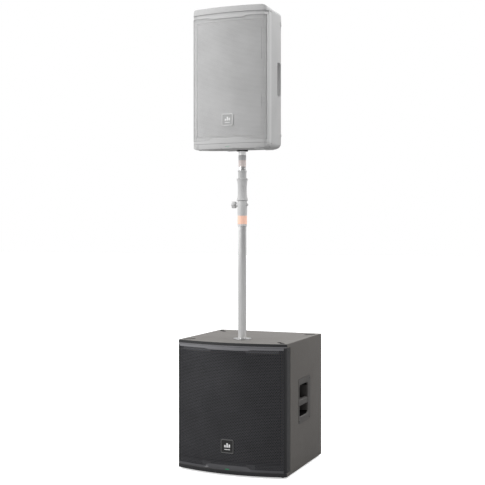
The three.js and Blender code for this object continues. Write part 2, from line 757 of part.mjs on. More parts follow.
function satFrontHousing() {
  const face = slab(planOutline(satPlan, 0, 0, 5), SAT.bottom, SAT.top);
  const outline = roundedRectangle(SAT.halfWidth, SAT.bottom, SAT.top, SAT.round, 3);
  const shell = overlap(face, plate(outline, -FAR, SAT.seam));
  const inner = grown([-SAT.halfWidth, SAT.halfWidth], -SAT.wall - 1);
  const baffleBack = SAT_BAFFLE.front + SAT_BAFFLE.thickness;
  const rearRoom = block(inner, [baffleBack, 0], grown([SAT.bottom, SAT.top], -SAT.wall - 1));
  const windowZ = [SAT_GRILLE.low + 17, SAT_GRILLE.high - 19];
  const window = block([-165, 165], [-FAR, SAT_BAFFLE.front], windowZ);
  const recess = bowedSheet(satPlan, SAT_GRILLE, SAT_DIP, RECESS_DEPTHS, 0.5);
  const through = [SAT_BAFFLE.front - 5, 0];
  const wooferHole = rod(SAT_WOOFER.hole, ...through, ROUND).translate(0, 0, SAT_WOOFER.z);
  const [mouthX, mouthZ] = HORN.mouth;
  const hornHole = plate(
    roundedRectangle(mouthX + GAP, HORN.z - mouthZ - GAP, HORN.z + mouthZ + GAP, HORN.round, 4),
    ...through,
  );
  return cut(shell, rearRoom, window, recess, wooferHole, hornHole, statusPocket(SAT.apex, SAT_LIGHT_Z));
}

function satRearHousing() {
  const outside = rearLoft(0);
  const cups = [-1, 1].map((side) =>
    overlap(
      sideBlock(side, [SAT_GRIP.floor - 4, 200], grown(SAT_GRIP.y, 4), grown(SAT_GRIP.z, 4)),
      outside,
    ),
  );
  const pockets = [-1, 1].map((side) => sideBlock(side, [SAT_GRIP.floor, 200], SAT_GRIP.y, SAT_GRIP.z));
  const panelX = SAT_PANEL.halfWidth;
  const panelHole = block([-panelX, panelX], [55, 100], [SAT_PANEL.low, SAT_PANEL.high]);
  const socketHole = uprightAt(rod(28.3, SAT.bottom - 10, SAT.bottom + 30, ROUND), POLE.x, POLE.y);
  const shell = cut(outside, rearLoft(SAT.wall));
  return cut(join(shell, ...cups), ...pockets, panelHole, socketHole);
}

function satBasket() {
  const profile = [
    [SAT_WOOFER.flange, -4],
    [SAT_WOOFER.flange, -GAP],
    [139, -GAP],
    [70, 72],
    [70, 78],
    [34, 78],
    [34, 75],
    [66, 75],
    [66, 70],
    [132, 2],
    [132, -4],
  ];
  const frame = closedRing(behindBaffle(profile, SAT_BAFFLE.front), ROUND);
  const windows = [0, 60, 120].map((degrees) =>
    block([-200, 200], [SAT_BAFFLE.front + 20, SAT_BAFFLE.front + 62], [-28, 28])
      .rotateY(THREE.MathUtils.degToRad(degrees)),
  );
  return cut(frame, ...windows).translate(0, 0, SAT_WOOFER.z);
}

function satMagnet() {
  const profile = [[0, 70], [24, 70], [24, 108], [29, 108], [29, 78.3], [62, 78.3], [62, 116], [0, 116]];
  return turned(behindBaffle(profile, SAT_BAFFLE.front), ROUND).translate(0, 0, SAT_WOOFER.z);
}

function satCone() {
  const profile = [
    [0, 30],
    [22, 32],
    [38, 40],
    [126, -3],
    [126, 0],
    [38, 44],
    [27.5, 54],
    [27.5, 92],
    [25.5, 92],
    [25.5, 46],
    [0, 34],
  ];
  return turned(behindBaffle(profile, SAT_BAFFLE.front), ROUND).translate(0, 0, SAT_WOOFER.z);
}

// The horn narrows from a rounded rectangle in the baffle to a round throat.
function hornRing(share, extra) {
  const [mouthX, mouthZ] = HORN.mouth;
  const depth = SAT_BAFFLE.front + HORN.depth * share;
  const squeeze = (1 - share) ** 1.6;
  const halfX = HORN.throat + (mouthX - HORN.wall - HORN.throat) * squeeze + extra;
  const halfZ = HORN.throat + (mouthZ - HORN.wall - HORN.throat) * squeeze + extra;
  const radius = HORN.throat + (HORN.round - HORN.throat) * squeeze * 0.9 + extra - 0.01;
  const outline = roundedRectangle(halfX, -halfZ, halfZ, radius, 3);
  return outline.map(([x, z]) => [x, depth, z + HORN.z]);
}

function satHorn() {
  const shares = [0, 0.25, 0.6, 1];
  const outside = loft(shares.map((share) => hornRing(share, HORN.wall)));
  // The passage runs on a little past both ends of the horn.
  const passage = [-0.05, 0.25, 0.6, 1.05].map((share) => {
    const depth = SAT_BAFFLE.front + HORN.depth * share;
    return hornRing(Math.min(share, 1), 0).map(([x, , z]) => [x, depth, z]);
  });
  return cut(outside, loft(passage));
}

function satDriver() {
  const start = HORN.depth + GAP;
  const profile = [[0, start + 8], [12, start], [45, start], [45, start + 52], [0, start + 52]];
  return turned(behindBaffle(profile, SAT_BAFFLE.front), ROUND).translate(0, 0, HORN.z);
}

function satPoleSocket() {
  const profile = [
    [POLE.inner + 0.5, SAT.bottom + 1],
    [28, SAT.bottom + 1],
    [28, 1612],
    [0, 1612],
    [0, 1605.5],
    [POLE.inner + 0.5, 1605.5],
  ];
  return uprightAt(closedRing(profile, ROUND), POLE.x, POLE.y);
}

function satAmpPanel() {
  const { halfWidth, low, high, front, thickness } = SAT_PANEL;
  const across = grown([-halfWidth, halfWidth], -GAP);
  const sheet = block(across, [front, front + thickness], grown([low, high], -GAP));
  return cut(sheet, ...panelHoles(front + 20, front, SAT_SOCKETS, SAT_INLET, SAT_KNOB, SAT_ROCKER));
}

function buildSatellite() {
  const back = SAT_PANEL.front + SAT_PANEL.thickness;
  addNode("sat_front_housing", satFrontHousing(), LOOK.palePlastic);
  addNode("sat_rear_housing", satRearHousing(), LOOK.palePlastic);
  addNode("sat_grille", bowedSheet(satPlan, SAT_GRILLE, SAT_DIP, GRILLE_DEPTHS, 0), LOOK.paleSteel);
  addNode("sat_badge", block([-28, 28], [SAT.apex + 0.1, SAT.apex + 3.1], [1628, 1684]), LOOK.emblem);
  addNode("sat_status_light", statusLight(SAT.apex, SAT_LIGHT_Z), LOOK.light);
  addNode("sat_woofer_basket", satBasket(), LOOK.castMetal);
  addNode("sat_woofer_magnet", satMagnet(), LOOK.magnet);
  addNode("sat_woofer_cone", satCone(), LOOK.cone);
  addNode("sat_horn", satHorn(), LOOK.blackPlastic);
  addNode("sat_compression_driver", satDriver(), LOOK.magnet);
  addNode("sat_pole_socket", satPoleSocket(), LOOK.blackPlastic);
  addNode("sat_amp_panel", satAmpPanel(), LOOK.panel);
  addNode("sat_mains_inlet", mainsInlet(SAT_INLET[0], back + 1, SAT_INLET[1]), LOOK.blackPlastic);
  SAT_SOCKETS.forEach(([x, z], i) => {
    addNode(`sat_input_${i + 1}`, socketCup(x, back + 5 + GAP, z), LOOK.blackPlastic);
  });
  const knob = addNode("sat_control_knob", turnKnob(0), LOOK.blackPlastic);
  knob.position.set(SAT_KNOB[0], back + 12 + GAP, SAT_KNOB[1]);
  const power = addNode("sat_power_switch", rocker(), LOOK.blackPlastic);
  power.position.set(SAT_ROCKER[0], back, SAT_ROCKER[1]);
  power.rotation.x = THREE.MathUtils.degToRad(-ROCKER_TILT);
}

buildSub();
buildPole();
buildSatellite();

export default speaker;
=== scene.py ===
import math

import bpy
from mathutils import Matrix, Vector


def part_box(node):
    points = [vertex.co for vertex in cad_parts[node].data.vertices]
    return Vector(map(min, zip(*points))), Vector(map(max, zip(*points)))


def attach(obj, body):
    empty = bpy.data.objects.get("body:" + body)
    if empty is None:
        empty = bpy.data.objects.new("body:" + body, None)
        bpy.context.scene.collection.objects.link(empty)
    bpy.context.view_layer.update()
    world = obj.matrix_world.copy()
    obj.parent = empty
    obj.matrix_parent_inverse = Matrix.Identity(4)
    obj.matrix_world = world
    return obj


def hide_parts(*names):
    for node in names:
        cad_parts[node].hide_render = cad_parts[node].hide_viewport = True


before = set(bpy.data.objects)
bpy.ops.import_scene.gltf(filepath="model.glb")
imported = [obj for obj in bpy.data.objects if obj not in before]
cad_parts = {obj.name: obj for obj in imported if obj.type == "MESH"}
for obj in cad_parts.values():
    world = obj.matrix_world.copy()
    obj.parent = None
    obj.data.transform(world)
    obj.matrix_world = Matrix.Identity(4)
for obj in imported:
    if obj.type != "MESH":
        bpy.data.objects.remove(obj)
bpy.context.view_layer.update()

MM = 0.001

# Bodies of the CAD model that most pieces ride on.
BASE, UPPER, SATELLITE = "sub_and_pole", "pole_upper", "satellite"

GAP = 0.3  # clearance between neighbouring parts, in millimetres
FAR = 400  # further out than any side of a cabinet
BOW_STEPS = 12  # along the large arc and along the corner, on each side of the middle

# --- Outlines, in millimetres ---


def limits(node):
    """A CAD node's lowest and highest corner, in millimetres."""
    low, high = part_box(node)
    return low / MM, high / MM


def face_of(node):
    """The middle of a CAD node in X and Z, and the Y that its rear face is at."""
    low, high = limits(node)
    return (low.x + high.x) / 2, (low.z + high.z) / 2, high.y


def to_side(side, near, far):
    """Two distances from the middle as a span of X. side is -1 for left or 1 for right."""
    return sorted((side * near, side * far))


def grown(corners, gap):
    """A rectangle's low and high corners, moved out by a gap."""
    (x0, y0), (x1, y1) = corners
    return (x0 - gap, y0 - gap), (x1 + gap, y1 + gap)


def slab(front, back, low, high):
    """A section across the bow, as corners of (depth behind the bow, height)."""
    return [(front, low), (back, low), (back, high), (front, high)]


def arc(x, y, radius, start, end, steps):
    angles = [math.radians(start + (end - start) * i / steps) for i in range(steps + 1)]
    return [(x + radius * math.cos(a), y + radius * math.sin(a)) for a in angles]


def rounded(low, high, radius, steps=6):
    """A rectangle with round corners, anticlockwise, from its low and high corners."""
    (x0, y0), (x1, y1) = low, high
    r = min(radius, (x1 - x0) / 2 - 0.01, (y1 - y0) / 2 - 0.01)
    corners = ((x1 - r, y1 - r, 0), (x0 + r, y1 - r, 90), (x0 + r, y0 + r, 180), (x1 - r, y0 + r, 270))
    return [p for x, y, start in corners for p in arc(x, y, r, start, start + 90, steps)]


def oblong(x, y, length, width, degrees):
    """A strip with round ends, turned by some degrees."""
    half, turn = (length - width) / 2, math.radians(degrees)
    ends = arc(half, 0, width / 2, -90, 90, 12) + arc(-half, 0, width / 2, 90, 270, 12)
    c, s = math.cos(turn), math.sin(turn)
    return [(x + u * c - v * s, y + u * s + v * c) for u, v in ends]


class Bow:
    """The bowed front that both cabinets share: a large arc with small round corners.

    A place along it is the angle of its outward normal, in degrees, 0 at the middle."""

    def __init__(self, half_width, apex, bow, corner):
        self.half_width, self.corner = half_width, corner
        self.radius = (half_width**2 + bow**2) / (2 * bow)
        self.centre_y = apex + self.radius
        self.corner_x = half_width - corner
        self.corner_y = self.centre_y - math.sqrt((self.radius - corner) ** 2 - self.corner_x**2)
        self.turn = math.degrees(math.asin(self.corner_x / (self.radius - corner)))

    def point(self, degrees, inset):
        """X and Y where the normal has this angle, at a depth behind the bow."""
        angle = math.radians(degrees)
        if abs(degrees) <= self.turn:
            reach = self.radius - inset
            return reach * math.sin(angle), self.centre_y - reach * math.cos(angle)
        reach = self.corner - inset
        x = math.copysign(self.corner_x, degrees) + reach * math.sin(angle)
        return x, self.corner_y - reach * math.cos(angle)

    def angles(self, wrap, marks=()):
        """Stations out to a wrap on both sides, with extra ones at the marked distances."""
        bow_end = min(self.turn, wrap)
        half = {bow_end * i / BOW_STEPS for i in range(BOW_STEPS + 1)}
        half |= {math.degrees(math.asin(x / self.radius)) for x in marks}
        half |= {bow_end + (wrap - bow_end) * i / BOW_STEPS for i in range(1, BOW_STEPS + 1)}
        half = sorted(half)
        return [-a for a in reversed(half[1:])] + half

    def outline(self, inset, back, back_radius):
        """The whole plan of a cabinet: the bow in front and round rear corners."""
        x = self.half_width - inset - back_radius
        rear = arc(x, back - back_radius, back_radius, 0, 90, 5)
        rear += arc(-x, back - back_radius, back_radius, 90, 180, 5)
        return [self.point(a, inset) for a in self.angles(90)] + rear

    def angle_at(self, length, inset):
        """The normal's angle at a distance along the bow from its middle."""
        straight = (self.radius - inset) * math.radians(self.turn)
        if abs(length) <= straight:
            return math.degrees(length / (self.radius - inset))
        extra = math.degrees((abs(length) - straight) / (self.corner - inset))
        return math.copysign(self.turn + extra, length)

    def length_to(self, degrees, inset):
        """The distance along the bow to an angle that is past the start of the corner."""
        straight = (self.radius - inset) * math.radians(self.turn)
        return straight + (self.corner - inset) * math.radians(degrees - self.turn)


# --- Meshes ---


def solid(points, faces):
    """A mesh object from points in millimetres."""
    mesh = bpy.data.meshes.new("solid")
    mesh.from_pydata([Vector(p) * MM for p in points], [], faces)
    mesh.validate()
    made = bpy.data.objects.new("solid", mesh)
    bpy.context.scene.collection.objects.link(made)
    return made


def loft(rings, closed_ends=True):
    """A skin over a row of outlines that have equally many points."""
    count = len(rings[0])
    faces = []
    for ring in range(len(rings) - 1):
        for i in range(count):
            a, b = ring * count + i, ring * count + (i + 1) % count
            faces.append((a, b, b + count, a + count))
    if closed_ends:
        faces.append(tuple(reversed(range(count))))
        faces.append(tuple(range((len(rings) - 1) * count, len(rings) * count)))
    return outward(solid([p for ring in rings for p in ring], faces))


def outward(made):
    """Turns a closed mesh's faces outwards."""
    volume = 0.0
    vertices = made.data.vertices
    for face in made.data.polygons:
        a = vertices[face.vertices[0]].co
        for i in range(1, len(face.vertices) - 1):
            b, c = vertices[face.vertices[i]].co, vertices[face.vertices[i + 1]].co
            volume += a.dot(b.cross(c))
    if volume < 0:
        made.data.flip_normals()
    return made


def upright(outline, low, high):
    return loft([[(x, y, z) for x, y in outline] for z in (low, high)])


def facing_y(outline, low, high):
    """A plate whose outline is in X and Z."""
    return loft([[(x, y, z) for x, z in outline] for y in (low, high)])


def facing_x(outline, low, high):
    """A plate whose outline is in Y and Z."""
    return loft([[(x, y, z) for y, z in outline] for x in (low, high)])


def block(x, y, z):
    return upright([(x[0], y[0]), (x[1], y[0]), (x[1], y[1]), (x[0], y[1])], *z)


def turned(profile, axis="Z", centre=(0, 0, 0), segments=64, flute=None):
    """A turned solid. The profile is (radius, place along the axis), and ends on the axis or
    comes back to where it started. flute changes a radius by its angle and place."""
    closed_loop = profile[0][0] > 0 or profile[-1][0] > 0
    points, faces, rows = [], [], []
    for radius, place in profile:
        if radius == 0:
            rows.append([len(points)] * segments)
            points.append((0, 0, place))
            continue
        rows.append(list(range(len(points), len(points) + segments)))
        for i in range(segments):
            angle = 2 * math.pi * i / segments
            r = radius + (flute(angle, radius, place) if flute else 0)
            points.append((r * math.cos(angle), r * math.sin(angle), place))
    for k in range(len(rows) if closed_loop else len(rows) - 1):
        low, high = rows[k], rows[(k + 1) % len(rows)]
        for i in range(segments):
            j = (i + 1) % segments
            corners = (low[i], low[j], high[j], high[i])
            faces.append(tuple(dict.fromkeys(corners)))
    cx, cy, cz = centre
    place_on = {
        "Z": lambda x, y, s: (cx + x, cy + y, cz + s),
        "Y": lambda x, y, s: (cx + y, cy + s, cz + x),
        "X": lambda x, y, s: (cx + s, cy + x, cz + y),
    }[axis]
    return outward(solid([place_on(*p) for p in points], faces))


def rod(radius, start, end, axis="Z", centre=(0, 0, 0), segments=64):
    """A plain cylinder between two places along an axis."""
    return turned([(0, start), (radius, start), (radius, end), (0, end)], axis, centre, segments)


def tube_profile(outer, inner, low, high, edge=0.6):
    """The wall of a tube, with its edges taken off."""
    bottom = [(inner, low + edge), (inner + edge, low), (outer - edge, low), (outer, low + edge)]
    return bottom + [(outer, high - edge), (outer - edge, high), (inner + edge, high), (inner, high - edge)]


def bowed(bow, wrap, section, marks=()):
    """A solid swept along the bow. section(x) gives (inset, height) corners at a distance x
    from the middle."""
    rings = []
    for angle in bow.angles(wrap, marks):
        across = abs(bow.point(angle, 0)[0])
        rings.append([(*bow.point(angle, inset), z) for inset, z in section(across)])
    return loft(rings)


def bake(made):
    """Applies the modifiers."""
    graph = bpy.context.evaluated_depsgraph_get()
    mesh = bpy.data.meshes.new_from_object(made.evaluated_get(graph))
    old = made.data
    made.modifiers.clear()
    made.data = mesh
    bpy.data.meshes.remove(old)
    return made


def soften(made, width, segments=3, angle=35):
    """Rounds the edges that are sharper than an angle."""
    bevel = made.modifiers.new("soft_edges", "BEVEL")
    bevel.width = width * MM
    bevel.segments = segments
    bevel.limit_method = "ANGLE"
    bevel.angle_limit = math.radians(angle)
    bevel.use_clamp_overlap = True
    return made


def combine(made, others, operation):
    for other in others:
        step = made.modifiers.new(operation, "BOOLEAN")
        step.operation = operation
        step.solver = "EXACT"
        step.object = other
        bake(made)
        bpy.data.objects.remove(other)
    return made


def cut(made, *others):
    return combine(made, others, "DIFFERENCE")


def fuse(made, *others):
    return combine(made, others, "UNION")


def together(parts):
    """One object from several that don't touch."""
    points, faces = [], []
    for part in parts:
        start = len(points)
        points += [v.co / MM for v in part.data.vertices]
        faces += [tuple(start + i for i in face.vertices) for face in part.data.polygons]
        bpy.data.objects.remove(part)
    return solid(points, faces)


def place(made, name, body, look, node=None, slot=None):
    """Names a finished mesh, gives it its look and hangs it on its body. It takes the place of
    a CAD node, or stands beside them. Its slot is not used."""
    made.name = made.data.name = name
    made.data.materials.clear()
    made.data.materials.append(LOOK[look])
    for face in made.data.polygons:
        face.use_smooth = True
    made.data.set_sharp_from_angle(angle=math.radians(38))
    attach(made, body)
    if node:
        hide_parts(node)
    return made


def screws(name, body, spots, facing, look, radius=3.6, slot="control_plastic"):
    """Pan heads with a cross slot, standing on a face that looks along an axis."""
    axis, sign = facing
    heads = []
    for spot in spots:
        dome = [(0, 0), (radius, 0), (radius, 0.5), (radius * 0.8, 1.4), (radius * 0.45, 1.8), (0, 1.9)]
        dome = [(r, sign * h) for r, h in dome]
        head = turned(dome, axis, spot, segments=24)
        heads.append(cut(head, *[cross_arm(spot, axis, sign, radius, lying) for lying in (0, 1)]))
    return place(together(heads), name, body, look, slot=slot)


def cross_arm(spot, axis, sign, radius, lying):
    """One arm of the cross slot in a screw head."""
    half_width, half_length = 0.45, radius * 0.55
    along = "XYZ".index(axis)
    lengthways = [i for i in range(3) if i != along][lying]
    spans = [(at - half_width, at + half_width) for at in spot]
    spans[lengthways] = (spot[lengthways] - half_length, spot[lengthways] + half_length)
    spans[along] = sorted((spot[along] + sign * 0.9, spot[along] + sign * 3))
    return block(*spans)


def perforated(bow, low, high, wrap, inset, thickness, pitch, hole, is_open):
    """A sheet of hexagonal cells on the bow, each pierced where is_open(length, height)."""
    per_mm = 50  # corners closer than one part in this many are the same corner
    reach = bow.length_to(wrap, inset)
    row_height = pitch * math.sqrt(3) / 2
    rows = int((high - low) / row_height)
    columns = int(reach / pitch) + 1
    corner = pitch / math.sqrt(3)
    points, found, faces, rim = [], {}, [], {}

    def add(length, height, back):
        angle = bow.angle_at(length, inset)
        x, y = bow.point(angle, inset + back * thickness)
        points.append((x, y, height))
        return len(points) - 1

    def pair(length, height):
        """The front and back point of one corner of a cell, shared by its neighbours."""
        key = round(length * per_mm), round(height * per_mm)
        if key not in found:
            found[key] = (add(length, height, 0), add(length, height, 1))
        return found[key]

    def corners(length, height, size):
        angles = [math.radians(30 + 60 * i) for i in range(6)]
        return [(length + size * math.cos(a), height + size * math.sin(a)) for a in angles]

    for row in range(rows):
        height = low + (row + 0.5) * row_height
        for column in range(-columns, columns + 1):
            length = (column + 0.5 * (row % 2)) * pitch
            if abs(length) > reach - pitch / 2:
                continue
            outer = [pair(*c) for c in corners(length, height, corner)]
            for i in range(6):
                a, b = outer[i], outer[(i + 1) % 6]
                rim.setdefault(frozenset((a, b)), []).append((a, b))
            if not is_open(length, height):
                faces.append(tuple(p[0] for p in outer))
                faces.append(tuple(p[1] for p in reversed(outer)))
                continue
            inner = [(add(*c, 0), add(*c, 1)) for c in corners(length, height, hole)]
            for i in range(6):
                j = (i + 1) % 6
                faces.append((outer[i][0], outer[j][0], inner[j][0], inner[i][0]))
                faces.append((outer[j][1], outer[i][1], inner[i][1], inner[j][1]))
                faces.append((inner[i][0], inner[j][0], inner[j][1], inner[i][1]))
    for uses in rim.values():
        if len(uses) == 1:
            a, b = uses[0]
            faces.append((a[1], b[1], b[0], a[0]))
    return outward(solid(points, faces))


# --- Materials ---


def grey(value, warm=0.0):
    """A neutral colour, or one with more red and less blue by a share."""
    return (value * (1 + warm), value, value * (1 - warm), 1)


def map_range(tree, source, start, end, low=0.0, high=1.0):
    """Carries a node's value from one range into another."""
    scale = tree.nodes.new("ShaderNodeMapRange")
    for key, value in (("From Min", start), ("From Max", end), ("To Min", low), ("To Max", high)):
        scale.inputs[key].default_value = value
    tree.links.new(source, scale.inputs["Value"])
    return scale.outputs["Result"]


def material(name, color, roughness, metallic=0.0, grain=900, bump=0.2, depth=0.0004, mottle=0.12,
             scratch=0.0, stretch=(1, 1, 1), glow=None, specular=0.5, sheen=0.0):
    """A surface with a fine grain in its bump, soft mottling in its colour and uneven gloss.

    grain is the scale of the bump's noise and depth its height in metres. mottle is how far
    the colour strays, scratch how pale worn edges are, and glow a colour and its strength."""
    made = bpy.data.materials.new(name)
    made.use_nodes = True
    tree = made.node_tree
    shader = tree.nodes["Principled BSDF"]
    link = tree.links.new

    def node(kind, **values):
        new = tree.nodes.new(kind)
        for key, value in values.items():
            new.inputs[key].default_value = value
        return new

    where = tree.nodes.new("ShaderNodeTexCoord").outputs["Object"]
    stretched = node("ShaderNodeMapping", Scale=stretch)
    link(where, stretched.inputs["Vector"])
    fine = node("ShaderNodeTexNoise", Scale=grain, Detail=3.0, Roughness=0.6)
    broad = node("ShaderNodeTexNoise", Scale=9.0, Detail=4.0, Roughness=0.55)
    link(stretched.outputs["Vector"], fine.inputs["Vector"])
    link(where, broad.inputs["Vector"])

    tint = tree.nodes.new("ShaderNodeMix")
    tint.data_type = "RGBA"
    tint.inputs["A"].default_value = [c * (1 - mottle) for c in color[:3]] + [1]
    tint.inputs["B"].default_value = [min(1, c * (1 + mottle)) for c in color[:3]] + [1]
    both = tree.nodes.new("ShaderNodeMath")
    both.operation = "MULTIPLY_ADD"
    both.inputs[1].default_value = 0.35
    link(fine.outputs["Fac"], both.inputs[0])
    link(broad.outputs["Fac"], both.inputs[2])
    link(map_range(tree, both.outputs["Value"], 0.45, 0.9), tint.inputs["Factor"])

    glossy, dull = max(0.02, roughness - 0.05), min(1, roughness + 0.06)
    link(map_range(tree, broad.outputs["Fac"], 0.3, 0.7, glossy, dull), shader.inputs["Roughness"])

    relief = node("ShaderNodeBump", Strength=bump, Distance=depth)
    link(fine.outputs["Fac"], relief.inputs["Height"])
    link(relief.outputs["Normal"], shader.inputs["Normal"])

    color_out = tint.outputs["Result"]
    if scratch:
        color_out = worn_edges(tree, color_out, color, scratch)
    link(color_out, shader.inputs["Base Color"])
    shader.inputs["Metallic"].default_value = metallic
    shader.inputs["Specular IOR Level"].default_value = specular
    shader.inputs["Sheen Weight"].default_value = sheen
    if glow:
        shader.inputs["Emission Color"].default_value = (*glow[:3], 1)
        shader.inputs["Emission Strength"].default_value = glow[3]
    return made


def worn_edges(tree, color_out, color, strength):
    """Lighter colour along convex edges."""
    shape = tree.nodes.new("ShaderNodeNewGeometry")
    edge = map_range(tree, shape.outputs["Pointiness"], 0.52, 0.6, 0, strength)
    worn = tree.nodes.new("ShaderNodeMix")
    worn.data_type = "RGBA"
    worn.inputs["B"].default_value = [min(1, c * 2.2 + 0.03) for c in color[:3]] + [1]
    tree.links.new(edge, worn.inputs["Factor"])
    tree.links.new(color_out, worn.inputs["A"])
    return worn.outputs["Result"]


PRINTED = {"grain": 1500, "bump": 0.05, "mottle": 0.05}
LOOK = {
    "cabinet": material("cabinet_paint", grey(0.059, 0.09), 0.62, grain=620, bump=0.45, depth=0.0007,
                        mottle=0.1, scratch=0.35),
    # Near-black painted shade for the insides of the deck's foot pockets and the handle cups, with little
    # specular so that no lamp shows in it.
    "recess": material("recess_liner", grey(0.005), 0.9, grain=700, specular=0.05),
    "bezel": material("bezel_plastic", (0.019, 0.019, 0.021, 1), 0.55, grain=1400, bump=0.15, mottle=0.08),
    # The two rails are the bezel's own dark plastic; these lighter copies of it are painted highlights,
    # brighter on the upper rail.
    "rail": material("top_strip_painted_highlight", (0.17, 0.169, 0.18, 1), 0.36, grain=1400, bump=0.12, mottle=0.08),
    "bottom_strip_painted_highlight": material("bottom_strip_painted_highlight", (0.085, 0.085, 0.091, 1), 0.45, grain=1400, bump=0.12,
                           mottle=0.08),
    "handle": material("handle_plastic", grey(0.05, 0.07), 0.5, grain=1200, bump=0.25, mottle=0.08,
                       scratch=0.2),
    "grille": material("grille_steel", (0.09, 0.09, 0.097, 1), 0.4, 0.7, grain=1500, mottle=0.1),
    "foam": material("grille_foam", grey(0.008), 0.95, grain=350, bump=0.9, depth=0.001, sheen=0.2),
    "rubber": material("foot_rubber", grey(0.014), 0.75, bump=0.3),
    "plywood": material("raw_plywood", (0.2, 0.14, 0.08, 1), 0.75, grain=260, bump=0.3, mottle=0.3,
                        stretch=(0.08, 1, 1)),
    "cast": material("cast_basket", grey(0.12), 0.45, 0.7, grain=500, bump=0.3),
    "magnet": material("magnet", grey(0.03), 0.4, 0.3, grain=800, bump=0.1),
    "cone": material("cone_paper", grey(0.012), 0.85, grain=300, bump=0.6),
    "cloth": material("spider_cloth", (0.4, 0.26, 0.11, 1), 0.9, grain=1200, bump=0.6),
    "copper": material("coil_wire", (0.75, 0.33, 0.14, 1), 0.3, 1.0, grain=40, bump=0.5,
                       stretch=(1, 60, 1)),
    "panel": material("panel_metal", grey(0.03), 0.42, 0.35, grain=1500, bump=0.12, mottle=0.08),
    "socket": material("socket_metal", grey(0.3), 0.35, 0.9, bump=0.1),
    "black": material("control_plastic", grey(0.022), 0.45, grain=1300),
    "screw": material("screw_steel", grey(0.09), 0.35, 0.9, grain=1500, bump=0.1),
    "white": material("white_print", grey(0.82), 0.5, grain=1200, bump=0.05, mottle=0.03),
    "rim": material("badge_rim", grey(0.14), 0.35, 0.4, grain=1500, bump=0.08, mottle=0.06),
    "emblem": material("badge_face", grey(0.012), 0.5, **PRINTED),
    "light": material("status_lens", (0.02, 0.2, 0.09, 1), 0.3, bump=0.05, glow=(0.06, 0.62, 0.26, 0.07)),
    "pale_light": material("pale_status_lens", (0.42, 0.56, 0.48, 1), 0.4, bump=0.05, mottle=0.04),
    # Lighter than the housing and glowing faintly: painted light that fills the shade inside the grip
    # pockets.
    "pocket_fill_painted_light": material("pocket_fill_painted_light", grey(0.5), 0.7, bump=0.15, mottle=0.04, glow=(1, 1, 1, 0.04)),
    "screen": material("display_glass", (0.01, 0.02, 0.03, 1), 0.12, bump=0.01,
                       glow=(0.05, 0.16, 0.3, 0.3)),
    "chrome": material("chrome_tube", grey(0.92), 0.14, 0.6, grain=500, bump=0.02, mottle=0.02,
                       stretch=(1, 1, 0.03)),
    "pale": material("pale_housing", grey(0.42), 0.55, grain=1100, bump=0.25, mottle=0.04, scratch=0.15),
    "pale_grille": material("pale_grille", grey(0.66), 0.5, grain=1500, bump=0.15, mottle=0.05),
    "pale_foam": material("pale_foam", grey(0.5), 0.9, grain=350, bump=0.8, depth=0.001),
    "pale_face": material("pale_badge_face", grey(0.36), 0.4, **PRINTED),
    "pale_rim": material("pale_badge_rim", grey(0.7), 0.4, **PRINTED),
    "pale_black": material("pale_dark_plastic", grey(0.8), 0.55, grain=1200, mottle=0.06),
    "pole_plastic": material("pole_plastic", grey(0.64), 0.45, grain=1200, mottle=0.05),
    "grip": material("grip_rubber", grey(0.62), 0.65, bump=0.4, mottle=0.06),
    # The orange band glows a little: painted light that brightens it beyond its colour.
    "label": material("orange_label_painted_glow", (0.9, 0.58, 0.46, 1), 0.4, **PRINTED, glow=(1.0, 0.55, 0.4, 0.2)),
    # The faint band glows a little: painted light against the satellite's shadow.
    "faint_label": material("upper_label_painted_glow", (0.94, 0.84, 0.81, 1), 0.4, **PRINTED, glow=(1, 0.9, 0.87, 0.08)),
    # The glow is painted light: it lifts the collar out of the shade that the satellite throws on it.
    "collar_painted_glow": material("steel_collar_painted_glow", grey(0.95), 0.3, 0.2, grain=1500, bump=0.03, mottle=0.03,
                     glow=(1, 1, 1, 0.25)),
    "band": material("light_band", grey(0.7), 0.4, grain=1500, bump=0.05, mottle=0.03),
}


def paint(look, *nodes):
    """Gives a CAD node that stays in view a better material and smooth shading."""
    for name in nodes:
        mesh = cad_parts[name].data
        mesh.materials.clear()
        mesh.materials.append(LOOK[look])
        for face in mesh.polygons:
            face.use_smooth = True
        mesh.set_sharp_from_angle(angle=math.radians(30))


# --- Fronts that both cabinets share: rails, grille, badge and status light ---

GRILLE_INSET, GRILLE_SHEET = 3.5, 1.5
GRILLE_BACK = GRILLE_INSET + GRILLE_SHEET + 0.4  # where the room for the sheet ends
LIP = 7  # how far the grille runs on behind the frame round it
HOLES_PAST = 3  # how far its holes run on there
OUTSIDE = -6  # a depth that is in front of the bow


